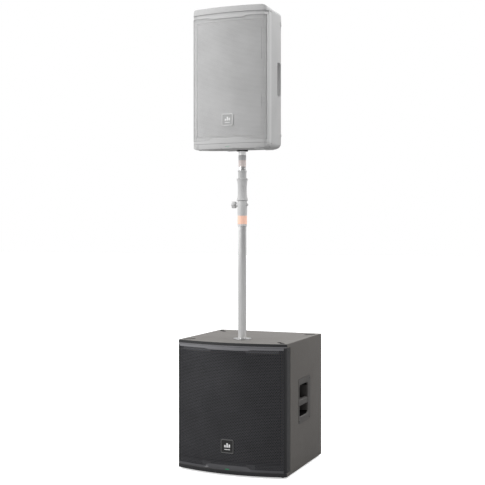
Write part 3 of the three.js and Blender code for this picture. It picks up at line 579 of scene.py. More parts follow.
class Face:
    """The opening in a front: its height range, how far it wraps round the corners, and the
    wide step in the middle of its upper and lower edges."""

    def __init__(self, bow, low, high, wrap, low_dip, high_dip, narrow, wide):
        self.bow, self.low, self.high, self.wrap = bow, low, high, wrap
        self.low_dip, self.high_dip = low_dip, high_dip
        self.narrow, self.wide = narrow, wide

    def edges(self, across, grow):
        """The lowest and highest place at a distance from the middle, moved out by grow."""
        share = min(1, max(0, (self.wide - across) / (self.wide - self.narrow)))
        return self.low + self.low_dip * share - grow, self.high - self.high_dip * share + grow

    def degrees(self, length):
        """A length round the corner, as a change of the normal's angle."""
        return math.degrees(length / (self.bow.corner - GRILLE_INSET))

    def opening(self):
        """The hole through the frame."""

        def section(across):
            return slab(OUTSIDE, GRILLE_BACK, *self.edges(across, GAP))

        return bowed(self.bow, self.wrap + self.degrees(GAP), section, (self.narrow, self.wide))

    def slot(self):
        """Room behind the frame for the edges of the grille."""
        room = slab(GRILLE_INSET - 0.4, GRILLE_BACK, self.low - LIP - 1, self.high + LIP + 1)
        return bowed(self.bow, self.wrap + self.degrees(LIP), lambda _: room)

    def leaning(self, start, end, depth, across_limit=90):
        """A wedge off the front of a rail between two heights, deepest at the first."""
        section = [(OUTSIDE, start), (depth, start), (0, end), (OUTSIDE, end)]
        return bowed(self.bow, across_limit, lambda _: section)

    def grille(self, pitch, hole):
        """The perforated sheet, from the distance between its holes and their radius."""

        def is_open(length, height):
            x = abs(self.bow.point(self.bow.angle_at(length, GRILLE_INSET), 0)[0])
            low, high = self.edges(x, HOLES_PAST)
            inside = abs(length) < self.bow.length_to(self.wrap, GRILLE_INSET) + HOLES_PAST
            return inside and low < height < high

        return perforated(self.bow, self.low - LIP, self.high + LIP, self.wrap + self.degrees(LIP - 1),
                          GRILLE_INSET, GRILLE_SHEET, pitch, hole, is_open)


def badge(node, body, face, rim, slot):
    """A square plate with a raised rim and three level bars over a short line."""
    low, high = limits(node)
    centre = (low + high) / 2
    half, front, back = (high.x - low.x) / 2, low.y, high.y

    def square(size, radius):
        return rounded((-size, centre.z - size), (size, centre.z + size), radius, 8)

    plate = soften(facing_y(square(half - 1, 5), front + 0.9, back - 0.2), 0.4)
    place(plate, f"{node}_plate", body, face, node=node)
    inside = facing_y(square(half - 3.6, 3.5), front - 2, back + 2)
    ring = cut(facing_y(square(half, 6), front, back - 0.3), inside)
    place(soften(ring, 0.6), f"{node}_rim", body, rim, slot=slot)

    unit = half / 10
    foot, line_z = centre.z - unit * 1.6, centre.z - unit * 4.6
    shapes = [((i - 1) * unit * 3.4, unit * 1.2, foot, foot + unit * tall)
              for i, tall in enumerate((3.2, 6.2, 4.6))]
    shapes.append((0, unit * 4.6, line_z - unit * 0.45, line_z + unit * 0.45))
    bars = [facing_y(rounded((x - reach, bottom), (x + reach, top), unit * 0.4), front + 0.35, front + 1.2)
            for x, reach, bottom, top in shapes]
    place(together(bars), f"{node}_bars", body, "white", slot=slot)


def status_light(node, body, look):
    """A flat lens with round ends."""
    low, high = limits(node)
    lens = facing_y(rounded((low.x, low.z), (high.x, high.z), 1.9, 8), low.y, high.y)
    place(soften(lens, 0.5), f"{node}_lens", body, look, node=node)


def light_pocket(node):
    """The hole in a rail that a status light stands in."""
    low, high = limits(node)
    outline = rounded(*grown(((low.x, low.z), (high.x, high.z)), GAP), 2.1, 8)
    return facing_y(outline, low.y - 6, high.y + 1)


# --- Rear panels ---


def socket(node, body):
    """A round signal socket: square flange, ring and a dark insert with three holes."""
    x, z, mouth = face_of(node)
    centre = (x, 0, z)
    flange = facing_y(rounded((x - 13, z - 15), (x + 13, z + 15), 3), mouth - 4.8, mouth - 2.6)
    ring_profile = [(9, mouth - 19), (10.8, mouth - 19), (10.8, mouth - 0.6), (10.2, mouth), (9.4, mouth),
                    (9, mouth - 0.4)]
    ring = turned(ring_profile, "Y", centre, 48)
    shell = cut(flange, rod(9, mouth - 30, mouth + 9, "Y", centre, 48))
    place(soften(fuse(shell, ring), 0.3, 2), f"{node}_shell", body, "socket", node=node)
    insert = rod(8.8, mouth - 17, mouth - 12, "Y", centre, 48)
    angles = [math.radians(turn) for turn in (90, 210, 330)]
    holes = [(x + 4 * math.cos(a), 0, z + 4 * math.sin(a)) for a in angles]
    cut(insert, *[rod(1.4, mouth - 30, mouth + 5, "Y", hole, 16) for hole in holes])
    place(insert, f"{node}_insert", body, "black", slot="connector_plastic")


def mains_inlet(node, body):
    """An inlet with a well and three blades."""
    low, high = limits(node)
    x, z, mouth = face_of(node)
    shell = facing_y(rounded((low.x, low.z), (high.x, high.z), 3), low.y, mouth)
    well = facing_y(rounded((x - 12.5, z - 8.5), (x + 12.5, z + 8.5), 3.5), mouth - 17, mouth + 5)
    place(soften(cut(shell, well), 0.6), f"{node}_shell", body, "black", node=node)
    blades = [block((x + dx - 1, x + dx + 1), (mouth - 17.5, mouth - 3), (z + dz - 2, z + dz + 2))
              for dx, dz in ((-7, -1.5), (0, 2.5), (7, -1.5))]
    place(soften(together(blades), 0.3, 2), f"{node}_blades", body, "socket", slot="socket_metal")


def control_knob(node, body):
    """A ribbed knob on a shaft, with a white pointer."""
    low, high = limits(node)
    x, z, face = face_of(node)
    radius = (high.x - low.x) / 2

    def ribs(angle, r, _):
        return -0.35 * (1 + math.cos(30 * angle)) if r > radius - 1 else 0

    profile = [(0, low.y), (3, low.y), (3, face - 12), (radius, face - 12), (radius, face - 11.6)]
    profile += [(radius, face - 2.5), (radius - 1.2, face - 0.8), (radius - 2.4, face), (0, face - 0.4)]
    knob = turned(profile, "Y", (x, 0, z), 120, ribs)
    place(knob, f"{node}_cap", body, "black", node=node)
    line = block((x - 0.5, x + 0.5), (face - 0.8, face + 0.05), (z + 3, z + radius - 2.4))
    place(line, f"{node}_pointer", body, "white", slot="control_plastic")


def rear_panel(prefix, body, fins, screen):
    """Fins, a small display and screws on a CAD panel that keeps its own sheet.

    fins is the rack's left, right, bottom and top and the number of fins, and screen is the
    middle of the display."""
    node = f"{prefix}_amp_panel"
    paint("panel", node)
    low, high = limits(node)
    face = high.y

    left, right, bottom, top, count = fins
    starts = [left + i * (right - left) / count for i in range(count)]
    rack = [block((start, start + 2.4), (face + 0.1, face + 8), (bottom, top)) for start in starts]
    rack = [bake(soften(fin, 0.5, 2)) for fin in rack]
    place(together(rack), f"{prefix}_heat_sink", body, "panel", slot="panel_metal")

    x, z = screen

    def pane(half_width, half_height, radius, back, front):
        outline = rounded((x - half_width, z - half_height), (x + half_width, z + half_height), radius)
        return facing_y(outline, face + back, face + front)

    surround = cut(pane(30, 17, 3, 0.1, 2.4), pane(26, 13, 2, 1, 5))
    place(soften(surround, 0.5), f"{prefix}_display_frame", body, "black", slot="control_plastic")
    glass = pane(25.7, 12.7, 1.8, 1.05, 1.7)
    place(glass, f"{prefix}_display_glass", body, "screen", slot="control_plastic")

    margin = 9
    bottom, top = low.z + margin, high.z - margin
    spots = [(sx, face, sz) for sx in (low.x + margin, high.x - margin)
             for sz in (bottom, (low.z + high.z) / 2, top)]
    spots += [(0, face, sz) for sz in (bottom, top)]
    screws(f"{prefix}_panel_screws", body, spots, ("Y", 1), "screw")


# --- Subwoofer ---

cabinet_low, cabinet_high = limits("sub_cabinet")
SUB_BOW = Bow(cabinet_high.x, cabinet_low.y, bow=46, corner=18)
SUB_SIDE_START = -187  # where the plywood sides begin, behind the bezel
PANEL = 18  # plywood thickness
DECK = (cabinet_low.z + PANEL, cabinet_high.z - PANEL)  # inner faces of the bottom and top panels
DECK_SEAM = (607, 608.4)  # a fine groove along the deck's front edge
SUB_FACE = Face(SUB_BOW, 38, 590, 24, 12, 5, 98, 118)
TRIM_GROOVE = (-200, -198)  # a thin upright line on each side of the bezel
FEET = ("front_left", "front_right", "rear_left", "rear_right")
FOOT, POCKET = (58, 16), (62, 20)  # length and width of a foot, and of its pocket in the deck
POCKET_DEPTH = 6

# Low and high corners of parts of a handle, in Y and Z.
HANDLE_FRAME = ((-72, 222), (102, 436))
HANDLE_CUP = ((-64, 230), (84, 428))
HANDLE_MOUTH = ((-57, 255), (64, 405))
HANDLE_BACK = ((-55, 257), (50, 403))
HANDLE_LIP = ((-61, 251), (68, 409))
HANDLE_BAR = (303, 336)  # in Z
HANDLE_DEPTH = 70


def foot_spot(name):
    """Where a foot stands, and how it is turned."""
    low, high = limits(f"sub_foot_{name}")
    centre = (low + high) / 2
    slant = 45 if centre.x * centre.y > 0 else -45
    return centre.x, centre.y, slant


def deck_set_back(across):
    """What the deck's front edge is set back by, fading out at the corners."""
    depth = 4 * min(1, (SUB_BOW.half_width - across) / 12)
    return slab(OUTSIDE, depth, DECK_SEAM[1] - 0.4, cabinet_high.z + 6)


def handle_room(side):
    """The hole for a handle's cup, and the rebate for its frame."""
    (y0, z0), (y1, z1) = grown(HANDLE_CUP, GAP)
    hole = block(to_side(side, 250, 300), (y0, y1), (z0, z1))
    rebate = facing_x(rounded(*grown(HANDLE_FRAME, 0.6), 16), *to_side(side, cabinet_high.x - 3.3, 300))
    return hole, rebate


def sub_cabinet():
    shell = upright(SUB_BOW.outline(0, cabinet_high.y, 3), cabinet_low.z, cabinet_high.z)
    bake(soften(shell, 2.5, 3, angle=60))
    inside = cabinet_high.x - PANEL
    interior = block((-inside, inside), (-FAR, cabinet_high.y - PANEL), DECK)
    bezel_room = block((-FAR, FAR), (-FAR, SUB_SIDE_START), DECK)
    panel_hole = block((-150, 150), (200, FAR), (100, 540))
    pole_hole = rod(20.3, 500, 700, centre=(0, POLE_Y, 0))
    seam = bowed(SUB_BOW, 90, lambda _: slab(OUTSIDE, 1, *DECK_SEAM))
    tools = [interior, bezel_room, panel_hole, pole_hole, seam, bowed(SUB_BOW, 90, deck_set_back)]
    for side in (-1, 1):
        tools += handle_room(side)
    for name in FEET:
        x, y, slant = foot_spot(name)
        pocket = oblong(x, y, *POCKET, slant)
        tools.append(upright(pocket, cabinet_high.z - POCKET_DEPTH, cabinet_high.z + 5))
    made = cut(shell, *tools)
    place(soften(made, 0.8, 2, angle=50), "sub_cabinet_shell", BASE, "cabinet", node="sub_cabinet")
    tint_cabinet(made)


def tint_cabinet(made):
    """Painted shade in the pockets of the deck, and the plastic looks of the rows above and below the
    bezel, with the lighter rail colour, a painted highlight, on the row under the deck's seam.
    """
    for look in ("recess", "bezel", "rail"):
        made.data.materials.append(LOOK[look])
    recess, bezel, rail = 1, 2, 3
    pockets = [foot_spot(name)[:2] for name in FEET]
    front_rows = (
        (DECK_SEAM[0], cabinet_high.z - 0.1, bezel),
        # The row under the deck's seam gets the lighter rail colour, a painted highlight.
        (DECK[1] - 1, DECK_SEAM[0], rail),
        (cabinet_low.z + 0.1, DECK[0] + 1, bezel),
    )
    for face in made.data.polygons:
        x, y, z = face.center / MM
        near_pocket = any(math.hypot(x - px, y - py) < 34 for px, py in pockets)
        # The pocket walls and floors get painted shade.
        if near_pocket and cabinet_high.z - POCKET_DEPTH - 0.5 < z < cabinet_high.z - 0.5:
            face.material_index = recess
        for low, high, index in front_rows:
            if y < SUB_SIDE_START and face.normal.y < -0.3 and low < z < high:
                face.material_index = index


def sub_bezel():
    low, high = DECK[0] + GAP, DECK[1] - GAP
    tools = [
        block((-FAR, FAR), (SUB_SIDE_START - 2.5, 100), (0, 700)),
        SUB_FACE.opening(),
        SUB_FACE.slot(),
        block((-255, 255), (-FAR, 0), (60, 575)),
        SUB_FACE.leaning(high + 1, SUB_FACE.high - 1, 2.5),
        SUB_FACE.leaning(low - 1, SUB_FACE.low + 1, 2.5),
        light_pocket("sub_status_light"),
    ]
    tools += [block(to_side(side, cabinet_high.x - 2.4, 300), TRIM_GROOVE, (0, 700)) for side in (-1, 1)]
    made = cut(upright(SUB_BOW.outline(0.8, 0, 5), low, high), *tools)
    place(soften(made, 1.3, 3, angle=40), "sub_bezel", BASE, "bezel", node="sub_front_bezel")
    tint_rails(made)
    groove_low, groove_high = TRIM_GROOVE
    trim = [block(to_side(side, cabinet_high.x - 2.2, cabinet_high.x - 0.5),
                  (groove_low + 0.2, groove_high - 0.2), (low + 1, high - 1)) for side in (-1, 1)]
    place(together(trim), "sub_bezel_trim", BASE, "rim", slot="bezel_plastic")


def tint_rails(made):
    """Painted highlights on the bezel's two leaning rails: lighter copies of its plastic."""
    made.data.materials.append(LOOK["rail"])
    made.data.materials.append(LOOK["bottom_strip_painted_highlight"])
    upper, lower = 1, 2
    for face in made.data.polygons:
        x, y, z = face.center / MM
        if y < SUB_BOW.corner_y and face.normal.y < -0.3 and abs(x) < SUB_BOW.corner_x:
            if z > SUB_FACE.high - 8:
                face.material_index = upper
            elif z < SUB_FACE.low + 8:
                face.material_index = lower


def handle_ring(side, depth, corners, radius):
    """A round-cornered outline at a depth behind the cabinet's side."""
    x = side * (cabinet_high.x - depth)
    return [(x, y, z) for y, z in rounded(*corners, radius, 8)]


def sub_handle(name, side):
    """A framed cup with a bar across its mouth."""
    face = cabinet_high.x
    shape = fuse(
        facing_x(rounded(*HANDLE_FRAME, 16), *to_side(side, face - 3, face + 1)),
        facing_x(rounded(*HANDLE_CUP, 14), *to_side(side, face - HANDLE_DEPTH, face - 2.5)),
    )
    back = handle_ring(side, HANDLE_DEPTH - 5, HANDLE_BACK, 10)
    pocket = loft([back, handle_ring(side, -6, HANDLE_MOUTH, 14)])
    lip = loft([handle_ring(side, 3, HANDLE_MOUTH, 14), handle_ring(side, -1.2, HANDLE_LIP, 18)])
    near, far = to_side(side, face - 27, face - 0.3)
    bar = facing_y(rounded((near, HANDLE_BAR[0]), (far, HANDLE_BAR[1]), 9, 6), -60, 70)
    made = fuse(cut(shape, pocket, lip), bar)
    place(soften(made, 0.9, 3, angle=45), f"sub_handle_{name}_grip", BASE, "handle",
          node=f"sub_handle_{name}")
    # Painted shade on the cup's walls and floor deeper than 7 mm, all but the bar.
    made.data.materials.append(LOOK["recess"])
    for polygon in made.data.polygons:
        depth = face - abs(polygon.center.x / MM)
        on_bar = depth < 28 and HANDLE_BAR[0] - 1 < polygon.center.z / MM < HANDLE_BAR[1] + 1
        if depth > 7 and not on_bar:
            polygon.material_index = 1
    (y0, z0), (y1, z1) = HANDLE_FRAME
    spots = [(side * (face + 1), y, z) for y in (y0 + 10, y1 - 10) for z in (z0 + 12, z1 - 12)]
    screws(f"sub_handle_{name}_screws", BASE, spots, ("X", side), "screw")


def build_sub():
    sub_cabinet()
    sub_bezel()
    place(SUB_FACE.grille(7.8, 3.1), "sub_grille_mesh", BASE, "grille", node="sub_grille")
    foam = bowed(SUB_BOW, 17.2, lambda _: slab(6, 11, 70, 570))
    place(foam, "sub_foam_sheet", BASE, "foam", node="sub_grille_foam")
    badge("sub_badge", BASE, "emblem", "rim", "emblem")
    status_light("sub_status_light", BASE, "light")
    for name, side in (("left", -1), ("right", 1)):
        sub_handle(name, side)
    for name in FEET:
        x, y, slant = foot_spot(name)
        foot = upright(oblong(x, y, *FOOT, slant), 0, cabinet_low.z)
        place(soften(foot, 1.6), f"sub_foot_{name}_pad", BASE, "rubber", node=f"sub_foot_{name}")
    for node in ("sub_input_1", "sub_input_2", "sub_output_1", "sub_output_2"):
        socket(node, BASE)
    mains_inlet("sub_mains_inlet", BASE)
    control_knob("sub_control_knob", "sub_knob")
    rear_panel("sub", BASE, (-128, 128, 205, 335, 24), (60, 450))
    for name, side in (("left", -1), ("right", 1)):
        spots = [(side * (cabinet_high.x - 0.8), -220, z) for z in (40, 590)]
        screws(f"sub_bezel_screws_{name}", BASE, spots, ("X", side), "screw", 4, "bezel_plastic")
    paint("plywood", "sub_baffle")
    paint("cast", "sub_woofer_basket", "sub_pole_socket", "sub_amp_module")
    paint("magnet", "sub_woofer_magnet")
    paint("rubber", "sub_woofer_surround")
    paint("cloth", "sub_woofer_spider")
    paint("cone", "sub_woofer_cone")
    paint("copper", "sub_voice_coil")
    paint("black", "sub_port_left", "sub_port_right", "sub_power_switch")


# --- Pole ---

POLE_Y = -98
OUTER, INNER = 20, 17.5  # outside radii of the two tubes
TUBE_WALL = 2
BORE = INNER + GAP  # of what the inner tube runs in or carries
CLAMP_Z = 1266
CLAMP_AT = (0, POLE_Y, CLAMP_Z)


def on_pole(profile, flute=None, segments=96):
    """A turned solid round the pole's axis."""
    return turned(profile, "Z", (0, POLE_Y, 0), segments, flute)


def pole_base():
    profile = [(0, 583), (9, 583), (10, 584.5), (10, 620), (43, 620), (44, 620.6), (44, 622), (43.4, 622.8),
               (42, 623), (17.7, 623), (17.7, 670), (0, 670)]
    base = on_pole(profile)
    place(base, "pole_base_disc", BASE, "socket", node="pole_base")


def clamp_collar():
    """A sleeve with a boss for the clamp screw and a nut across from it."""
    seat = 1235.5  # the outer tube ends just below it
    profile = [
        (OUTER + GAP, 1162.5), (OUTER + 1, 1162), (21.6, 1162), (22, 1162.6), (22, 1171.4), (21.6, 1172),
        (22, 1172.6), (22, 1214), (22.8, 1222), (23.5, 1235), (23.5, 1281), (23, 1283.6), (22, 1284.6),
        (BORE, 1284.6), (BORE, seat), (OUTER + GAP, seat),
    ]
    boss = turned([(0, -31), (8.2, -31), (9, -30), (9.4, -20), (0, -20)], "X", CLAMP_AT, 48)
    nut = turned([(0, 20), (7, 20), (7, 28.4), (6.2, 29), (0, 29)], "X", CLAMP_AT, 6)
    body = fuse(on_pole(profile), boss, nut)
    tube_hole = rod(BORE, seat, 1300, centre=(0, POLE_Y, 0), segments=96)
    screw_hole = rod(4.3, -60, -15, "X", CLAMP_AT, 32)
    pad_hole = rod(6, -26, -10, "X", CLAMP_AT, 32)
    cut(body, tube_hole, screw_hole, pad_hole)
    place(soften(body, 0.5, 2, angle=50), "pole_clamp_housing", BASE, "pole_plastic",
          node="pole_clamp_collar")
    band = on_pole(tube_profile(22.7, 22.1, 1164.5, 1171, 0.2))
    place(band, "pole_light_band", BASE, "band", slot="pole_plastic")


def clamp_knob():
    profile = [(0, -53), (12.5, -53), (16.5, -51.6), (18, -49), (18, -37), (16.8, -34.2), (14.5, -33),
               (4, -33), (4, -23), (0, -23)]

    def lobes(angle, radius, _):
        return -1.5 * (1 - math.cos(6 * angle)) if radius > 12 else 0

    knob = turned(profile, "X", CLAMP_AT, 144, lobes)
    place(knob, "pole_knob_cap", "clamp_knob", "pole_plastic", node="pole_clamp_knob")
    insert = turned([(0, -53.1), (8, -53.1), (9, -53.4), (7, -54.2), (0, -54.4)], "X", CLAMP_AT, 48)
    place(insert, "pole_knob_insert", "clamp_knob", "band", slot="pole_plastic")


def pole_grip():
    """A waisted rubber sleeve with shallow upright flutes."""
    low, high = limits("pole_grip")
    steps = 28
    waist = []
    for i in range(steps + 1):
        share = i / steps
        radius = 21.5 + 6 * abs(2 * share - 1) ** 3
        waist.append((radius, low.z + 4 + (high.z - low.z - 8) * share))
    profile = [(BORE, low.z + 0.5), (BORE + 0.5, low.z), (25.4, low.z), (26.5, low.z + 1.2)] + waist
    profile += [(25.4, high.z - 1.2), (24, high.z), (BORE + 0.5, high.z), (BORE, high.z - 0.5)]

    def flutes(angle, radius, height):
        share = (height - low.z - 14) / (high.z - low.z - 28)
        fade = max(0.0, math.sin(math.pi * share)) if 0 < share < 1 else 0
        return -0.55 * fade**0.5 * (1 + math.cos(24 * angle)) if radius > 19.5 else 0

    place(on_pole(profile, flutes, 240), "pole_grip_sleeve", BASE, "grip", node="pole_grip")


def pole_tube(name, node, body, radius):
    low, high = limits(node)
    tube = on_pole(tube_profile(radius, radius - TUBE_WALL, low.z, high.z))
    place(tube, name, body, "chrome", node=node)


def upper_bands():
    """What the inner tube carries between the grip and the upper speaker."""
    sleeve = [(BORE, 1394), (19, 1393.2), (20, 1394), (20, 1422), (19.4, 1423.4), (BORE, 1423.4)]
    place(on_pole(sleeve), "pole_stop", UPPER, "grip", node="pole_stop_sleeve")
    ring = [(BORE, 1423.7), (20.8, 1423.7), (21.5, 1424.6), (21.5, 1429.4), (20.6, 1431), (BORE, 1431.6)]
    place(on_pole(ring), "pole_rest_ring", UPPER, "band", slot="grip_rubber")
    # Its glow is painted light against the satellite's shadow.
    label = on_pole(tube_profile(INNER + 0.8, BORE, 1449, 1480, 0.2))
    place(label, "pole_upper_label", UPPER, "faint_label", node="pole_label_upper")
    # The collar's glow is painted light against the satellite's shadow.
    collar_painted_glow = on_pole(tube_profile(INNER + 0.6, BORE, 1504.5, 1521.5, 0.1))
    place(collar_painted_glow, "pole_upper_collar", UPPER, "collar_painted_glow", slot="chrome_tube")
    dark = on_pole(tube_profile(INNER + 0.8, BORE, 1480.5, 1504, 0.2))
    place(dark, "pole_upper_band", UPPER, "pale_black", slot="grip_rubber")


def build_pole():
    pole_base()
    pole_tube("pole_lower_tube", "pole_outer_tube", BASE, OUTER)
    clamp_collar()
    # Its glow is painted light.
    label = on_pole(tube_profile(22.8, 22.3, 1173, 1213, 0.2))
    place(label, "pole_lower_label", BASE, "label", node="pole_label_lower")
    clamp_knob()
    pole_grip()
    pole_tube("pole_upper_tube", "pole_inner_tube", UPPER, INNER)
    upper_bands()
    paint("rubber", "pole_clamp_pad")
    paint("cast", "pole_gas_cylinder")
    paint("chrome", "pole_gas_rod")


# --- Satellite ---

sat_low, sat_high = limits("sat_front_housing")
SAT_BOW = Bow(sat_high.x, sat_low.y, bow=22, corner=27)
SAT_SEAM = sat_high.y  # between the front and the rear housing
SAT_ROUND = 24
SAT_WALL = 5
SAT_FACE = Face(SAT_BOW, 1562, 2134, 62, 9, 8, 78, 96)
SAT_GROOVES = (1546, 2152)  # heights of the fine lines round the frame
SAT_GRIP = ((-126, 1774), (-79, 1935))  # corners of the pocket's mouth, in Y and Z
SAT_GRIP_FLOOR = 146
SAT_HORN_HOLE = ((-150.3, 1913.7), (150.3, 2110.3))
SAT_WOOFER_HOLE, SAT_WOOFER_Z = 141, 1746


def groove_tools():
    """The fine lines on the front and round its corners."""
    half = 1.1
    front = [bowed(SAT_BOW, 90, lambda _, z=z: slab(-5, 2.2, z - half, z + half)) for z in SAT_GROOVES]
    sides = [block(to_side(side, sat_high.x - 2.2, 250), (SAT_BOW.corner_y - 1, -150), (z - half, z + half))
             for side in (-1, 1) for z in SAT_GROOVES]
    return front + sides


def sat_front():
    shell = upright(SAT_BOW.outline(0, 0, 5), sat_low.z, sat_high.z)
    ends = rounded((sat_low.x, sat_low.z), (sat_high.x, sat_high.z), SAT_ROUND, 8)
    combine(shell, [facing_y(ends, -FAR, SAT_SEAM)], "INTERSECT")
    bake(soften(shell, 3, 3, angle=50))
    inner = sat_high.x - SAT_WALL - 1
    made = cut(
        shell,
        block((-inner, inner), (-220, 0), (sat_low.z + 6, sat_high.z - 6)),
        SAT_FACE.opening(),
        SAT_FACE.slot(),
        block((-165, 165), (-FAR, -225), (1579, 2115)),
        SAT_FACE.leaning(SAT_GROOVES[1], SAT_FACE.high - 1, 4.5, 80),
        light_pocket("sat_status_light"),
        facing_y(rounded(*SAT_HORN_HOLE, 30, 8), -240, -180),
        rod(SAT_WOOFER_HOLE, -240, -180, "Y", (0, 0, SAT_WOOFER_Z), 96),
        *groove_tools(),
    )
    place(soften(made, 0.9, 2, angle=45), "sat_front_shell", SATELLITE, "pale",
          node="sat_front_housing")


def rear_skin(inset):
    """The tapering rear of the satellite, or the hollow inside it at an inset."""
    start = SAT_SEAM - 5 if inset else SAT_SEAM + 0.6
    low, high = limits("sat_rear_housing")
    # Y, half the width, and how far the bottom rises and the top drops.
    stations = [
        (start, 190, 0, 0), (-76, 190, 9, 2), (40, 140, 17, 10), (62, 129, 20, 14), (72, 123.5, 24, 19),
        (high.y, 118, 28, 24),
    ]
    rings = []
    for y, half, rise, drop in stations:
        bottom, top = low.z + rise + inset, high.z - drop - inset
        outline = rounded((-half + inset, bottom), (half - inset, top), SAT_ROUND - inset / 2, 8)
        depth = y - inset if y > 60 else y
        rings.append([(x, depth, z) for x, z in outline])
    return loft(rings)


def grip_cup(side):
    """The block that a grip pocket is cut into, trimmed to the rear housing's skin."""
    (y0, z0), (y1, z1) = grown(SAT_GRIP, 4)
    cup = block(to_side(side, SAT_GRIP_FLOOR - 4, 200), (y0, y1), (z0, z1))
    return combine(cup, [rear_skin(0)], "INTERSECT")


def grip_pocket(side):
    floor = rounded(*grown(SAT_GRIP, -3), 8, 8)
    mouth = rounded(*SAT_GRIP, 12, 8)
    return loft([[(side * SAT_GRIP_FLOOR, y, z) for y, z in floor], [(side * 196, y, z) for y, z in mouth]])


def sat_rear():
    shell = cut(rear_skin(0), rear_skin(SAT_WALL))
    tools = []
    for side in (-1, 1):
        shell = fuse(shell, grip_cup(side))
        tools.append(grip_pocket(side))
    low, high = limits("sat_amp_panel")
    tools.append(block((low.x - GAP, high.x + GAP), (40, 120), (low.z - GAP, high.z + GAP)))
    tools.append(rod(28.3, 1500, 1560, centre=(0, POLE_Y, 0)))
    made = cut(shell, *tools)
    place(soften(made, 1.0, 3, angle=45), "sat_rear_shell", SATELLITE, "pale", node="sat_rear_housing")
    # Painted light on the pocket walls and floor: a lighter, faintly glowing grey against their shade.
    made.data.materials.append(LOOK["pocket_fill_painted_light"])
    (y0, z0), (y1, z1) = grown(SAT_GRIP, 0.5)
    for face in made.data.polygons:
        x, y, z = face.center / MM
        if y0 < y < y1 and z0 < z < z1 and SAT_GRIP_FLOOR - 0.5 < abs(x) < 188:
            face.material_index = 1


def sat_trim():
    """Feet under the satellite, and bumpers and screws on its sides."""
    feet = []
    for x, y, rise in ((-140, -235, 0), (140, -235, 0), (-100, 10, 15), (100, 10, 15)):
        base = sat_low.z + rise
        feet.append(bake(soften(upright(oblong(x, y, 46, 16, 0), base - 2.5, base + 2.5), 1)))
    place(together(feet), "sat_feet", SATELLITE, "pale_black", slot="pale_housing")
    bumps = []
    for side in (-1, 1):
        for z, length in ((1594, 16), (2122, 26)):
            bump = facing_x(oblong(-80, z, length, 9, 90), *to_side(side, 186, 194))
            bumps.append(bake(soften(bump, 1.2)))
    place(together(bumps), "sat_bumpers", SATELLITE, "pale_black", slot="pale_housing")
    for name, side in (("left", -1), ("right", 1)):
        spots = [(side * (sat_high.x - 0.8), -228, z) for z in (1560, 2136)]
        screws(f"sat_front_screws_{name}", SATELLITE, spots, ("X", side), "band", slot="pale_housing")


def build_satellite():
    sat_front()
    sat_rear()
    sheet = SAT_FACE.grille(6.6, 2.55)
    place(sheet, "sat_grille_mesh", SATELLITE, "pale_grille", node="sat_grille")
    foam = bowed(SAT_BOW, 11.2, lambda _: slab(6, 10, 1581, 2113))
    place(foam, "sat_foam_sheet", SATELLITE, "pale_foam", slot="grille_foam")
    badge("sat_badge", SATELLITE, "pale_face", "pale_rim", "pale_emblem")
    status_light("sat_status_light", SATELLITE, "pale_light")
    for node in ("sat_input_1", "sat_input_2"):
        socket(node, SATELLITE)
    mains_inlet("sat_mains_inlet", SATELLITE)
    control_knob("sat_control_knob", "sat_knob")
    rear_panel("sat", SATELLITE, (-82, 82, 1735, 1865, 15), (35, 1990))
    sat_trim()
    paint("cast", "sat_woofer_basket")
    paint("magnet", "sat_woofer_magnet", "sat_compression_driver")
    paint("cone", "sat_woofer_cone")
    paint("black", "sat_horn", "sat_pole_socket", "sat_power_switch")


# --- Studio ---

CAMERA_AT = (1.773, -4.382, 1.133)  # metres
CAMERA_TURN, CAMERA_PITCH = 22.47, -0.6  # degrees
FOCAL_LENGTH = 71.46
FLOOR_REACH = 40
BRIGHTEST_WAY = (-0.5, 0.3, 0.8)
SOFTBOXES = (
    # name, place, what it points at, width and height, watts
    ("overhead", (0.3, 0.4, 4.5), (0, 0, 0.6), (3, 3), 105),
    ("left", (-2.9, -3.4, 2.9), (0, 0, 1), (2.6, 3), 135),
    ("right_strip", (3.2, 0.7, 3.0), (0, 0, 1.4), (0.5, 2.4), 58),
)


def add_camera():
    data = bpy.data.cameras.new("camera")
    data.sensor_width, data.lens = 36, FOCAL_LENGTH
    camera = bpy.data.objects.new("camera", data)
    camera.location = CAMERA_AT
    camera.rotation_euler = (math.radians(90 + CAMERA_PITCH), 0, math.radians(CAMERA_TURN))
    bpy.context.scene.collection.objects.link(camera)
    bpy.context.scene.camera = camera


def softbox(name, at, towards, size, power):
    data = bpy.data.lights.new(name, "AREA")
    data.shape = "RECTANGLE"
    data.size, data.size_y = size
    data.energy = power
    lamp = bpy.data.objects.new(name, data)
    lamp.location = at
    lamp.rotation_euler = (Vector(towards) - Vector(at)).to_track_quat("-Z", "Y").to_euler()
    bpy.context.scene.collection.objects.link(lamp)


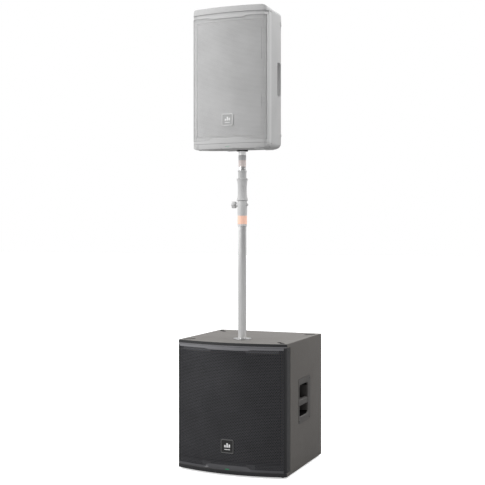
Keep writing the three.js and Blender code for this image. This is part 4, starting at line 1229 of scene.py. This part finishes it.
def floor_look():
    """White where it is seen, and darker to every other ray, so that it throws less light up."""
    made = material("pale_floor", grey(0.86), 0.8, grain=60, bump=0.02, mottle=0.01, glow=(1, 1, 1, 0.6))
    tree = made.node_tree
    dim = tree.nodes.new("ShaderNodeBsdfDiffuse")
    dim.inputs["Color"].default_value = grey(0.3)
    mix = tree.nodes.new("ShaderNodeMixShader")
    tree.links.new(tree.nodes.new("ShaderNodeLightPath").outputs["Is Camera Ray"], mix.inputs["Fac"])
    tree.links.new(dim.outputs["BSDF"], mix.inputs[1])
    tree.links.new(tree.nodes["Principled BSDF"].outputs["BSDF"], mix.inputs[2])
    tree.links.new(mix.outputs["Shader"], tree.nodes["Material Output"].inputs["Surface"])
    return made


def add_floor():
    mesh = bpy.data.meshes.new("floor")
    corners = [(x * FLOOR_REACH, y * FLOOR_REACH, 0) for x, y in ((-1, -1), (1, -1), (1, 1), (-1, 1))]
    mesh.from_pydata(corners, [], [(0, 1, 2, 3)])
    floor = bpy.data.objects.new("floor", mesh)
    bpy.context.scene.collection.objects.link(floor)
    mesh.materials.append(floor_look())


def add_world():
    """White behind the object, and a studio that is brightest high up on the left."""
    world = bpy.data.worlds.new("studio")
    bpy.context.scene.world = world
    world.use_nodes = True
    tree = world.node_tree
    link = tree.links.new
    towards = tree.nodes.new("ShaderNodeVectorMath")
    towards.operation = "DOT_PRODUCT"
    link(tree.nodes.new("ShaderNodeTexCoord").outputs["Generated"], towards.inputs[0])
    towards.inputs[1].default_value = BRIGHTEST_WAY
    studio, backdrop = (tree.nodes.new("ShaderNodeBackground") for _ in range(2))
    link(map_range(tree, towards.outputs["Value"], -0.5, 0.8, 0.05, 1.15), studio.inputs["Strength"])
    for shader in (studio, backdrop):
        shader.inputs["Color"].default_value = (1, 1, 1, 1)
    mix = tree.nodes.new("ShaderNodeMixShader")
    link(tree.nodes.new("ShaderNodeLightPath").outputs["Is Camera Ray"], mix.inputs["Fac"])
    link(studio.outputs["Background"], mix.inputs[1])
    link(backdrop.outputs["Background"], mix.inputs[2])
    link(mix.outputs["Shader"], tree.nodes["World Output"].inputs["Surface"])


def build_studio():
    add_camera()
    add_floor()
    add_world()
    for box in SOFTBOXES:
        softbox(*box)
    bpy.context.scene.view_settings.view_transform = "Standard"


build_studio()
build_sub()
build_pole()
build_satellite()
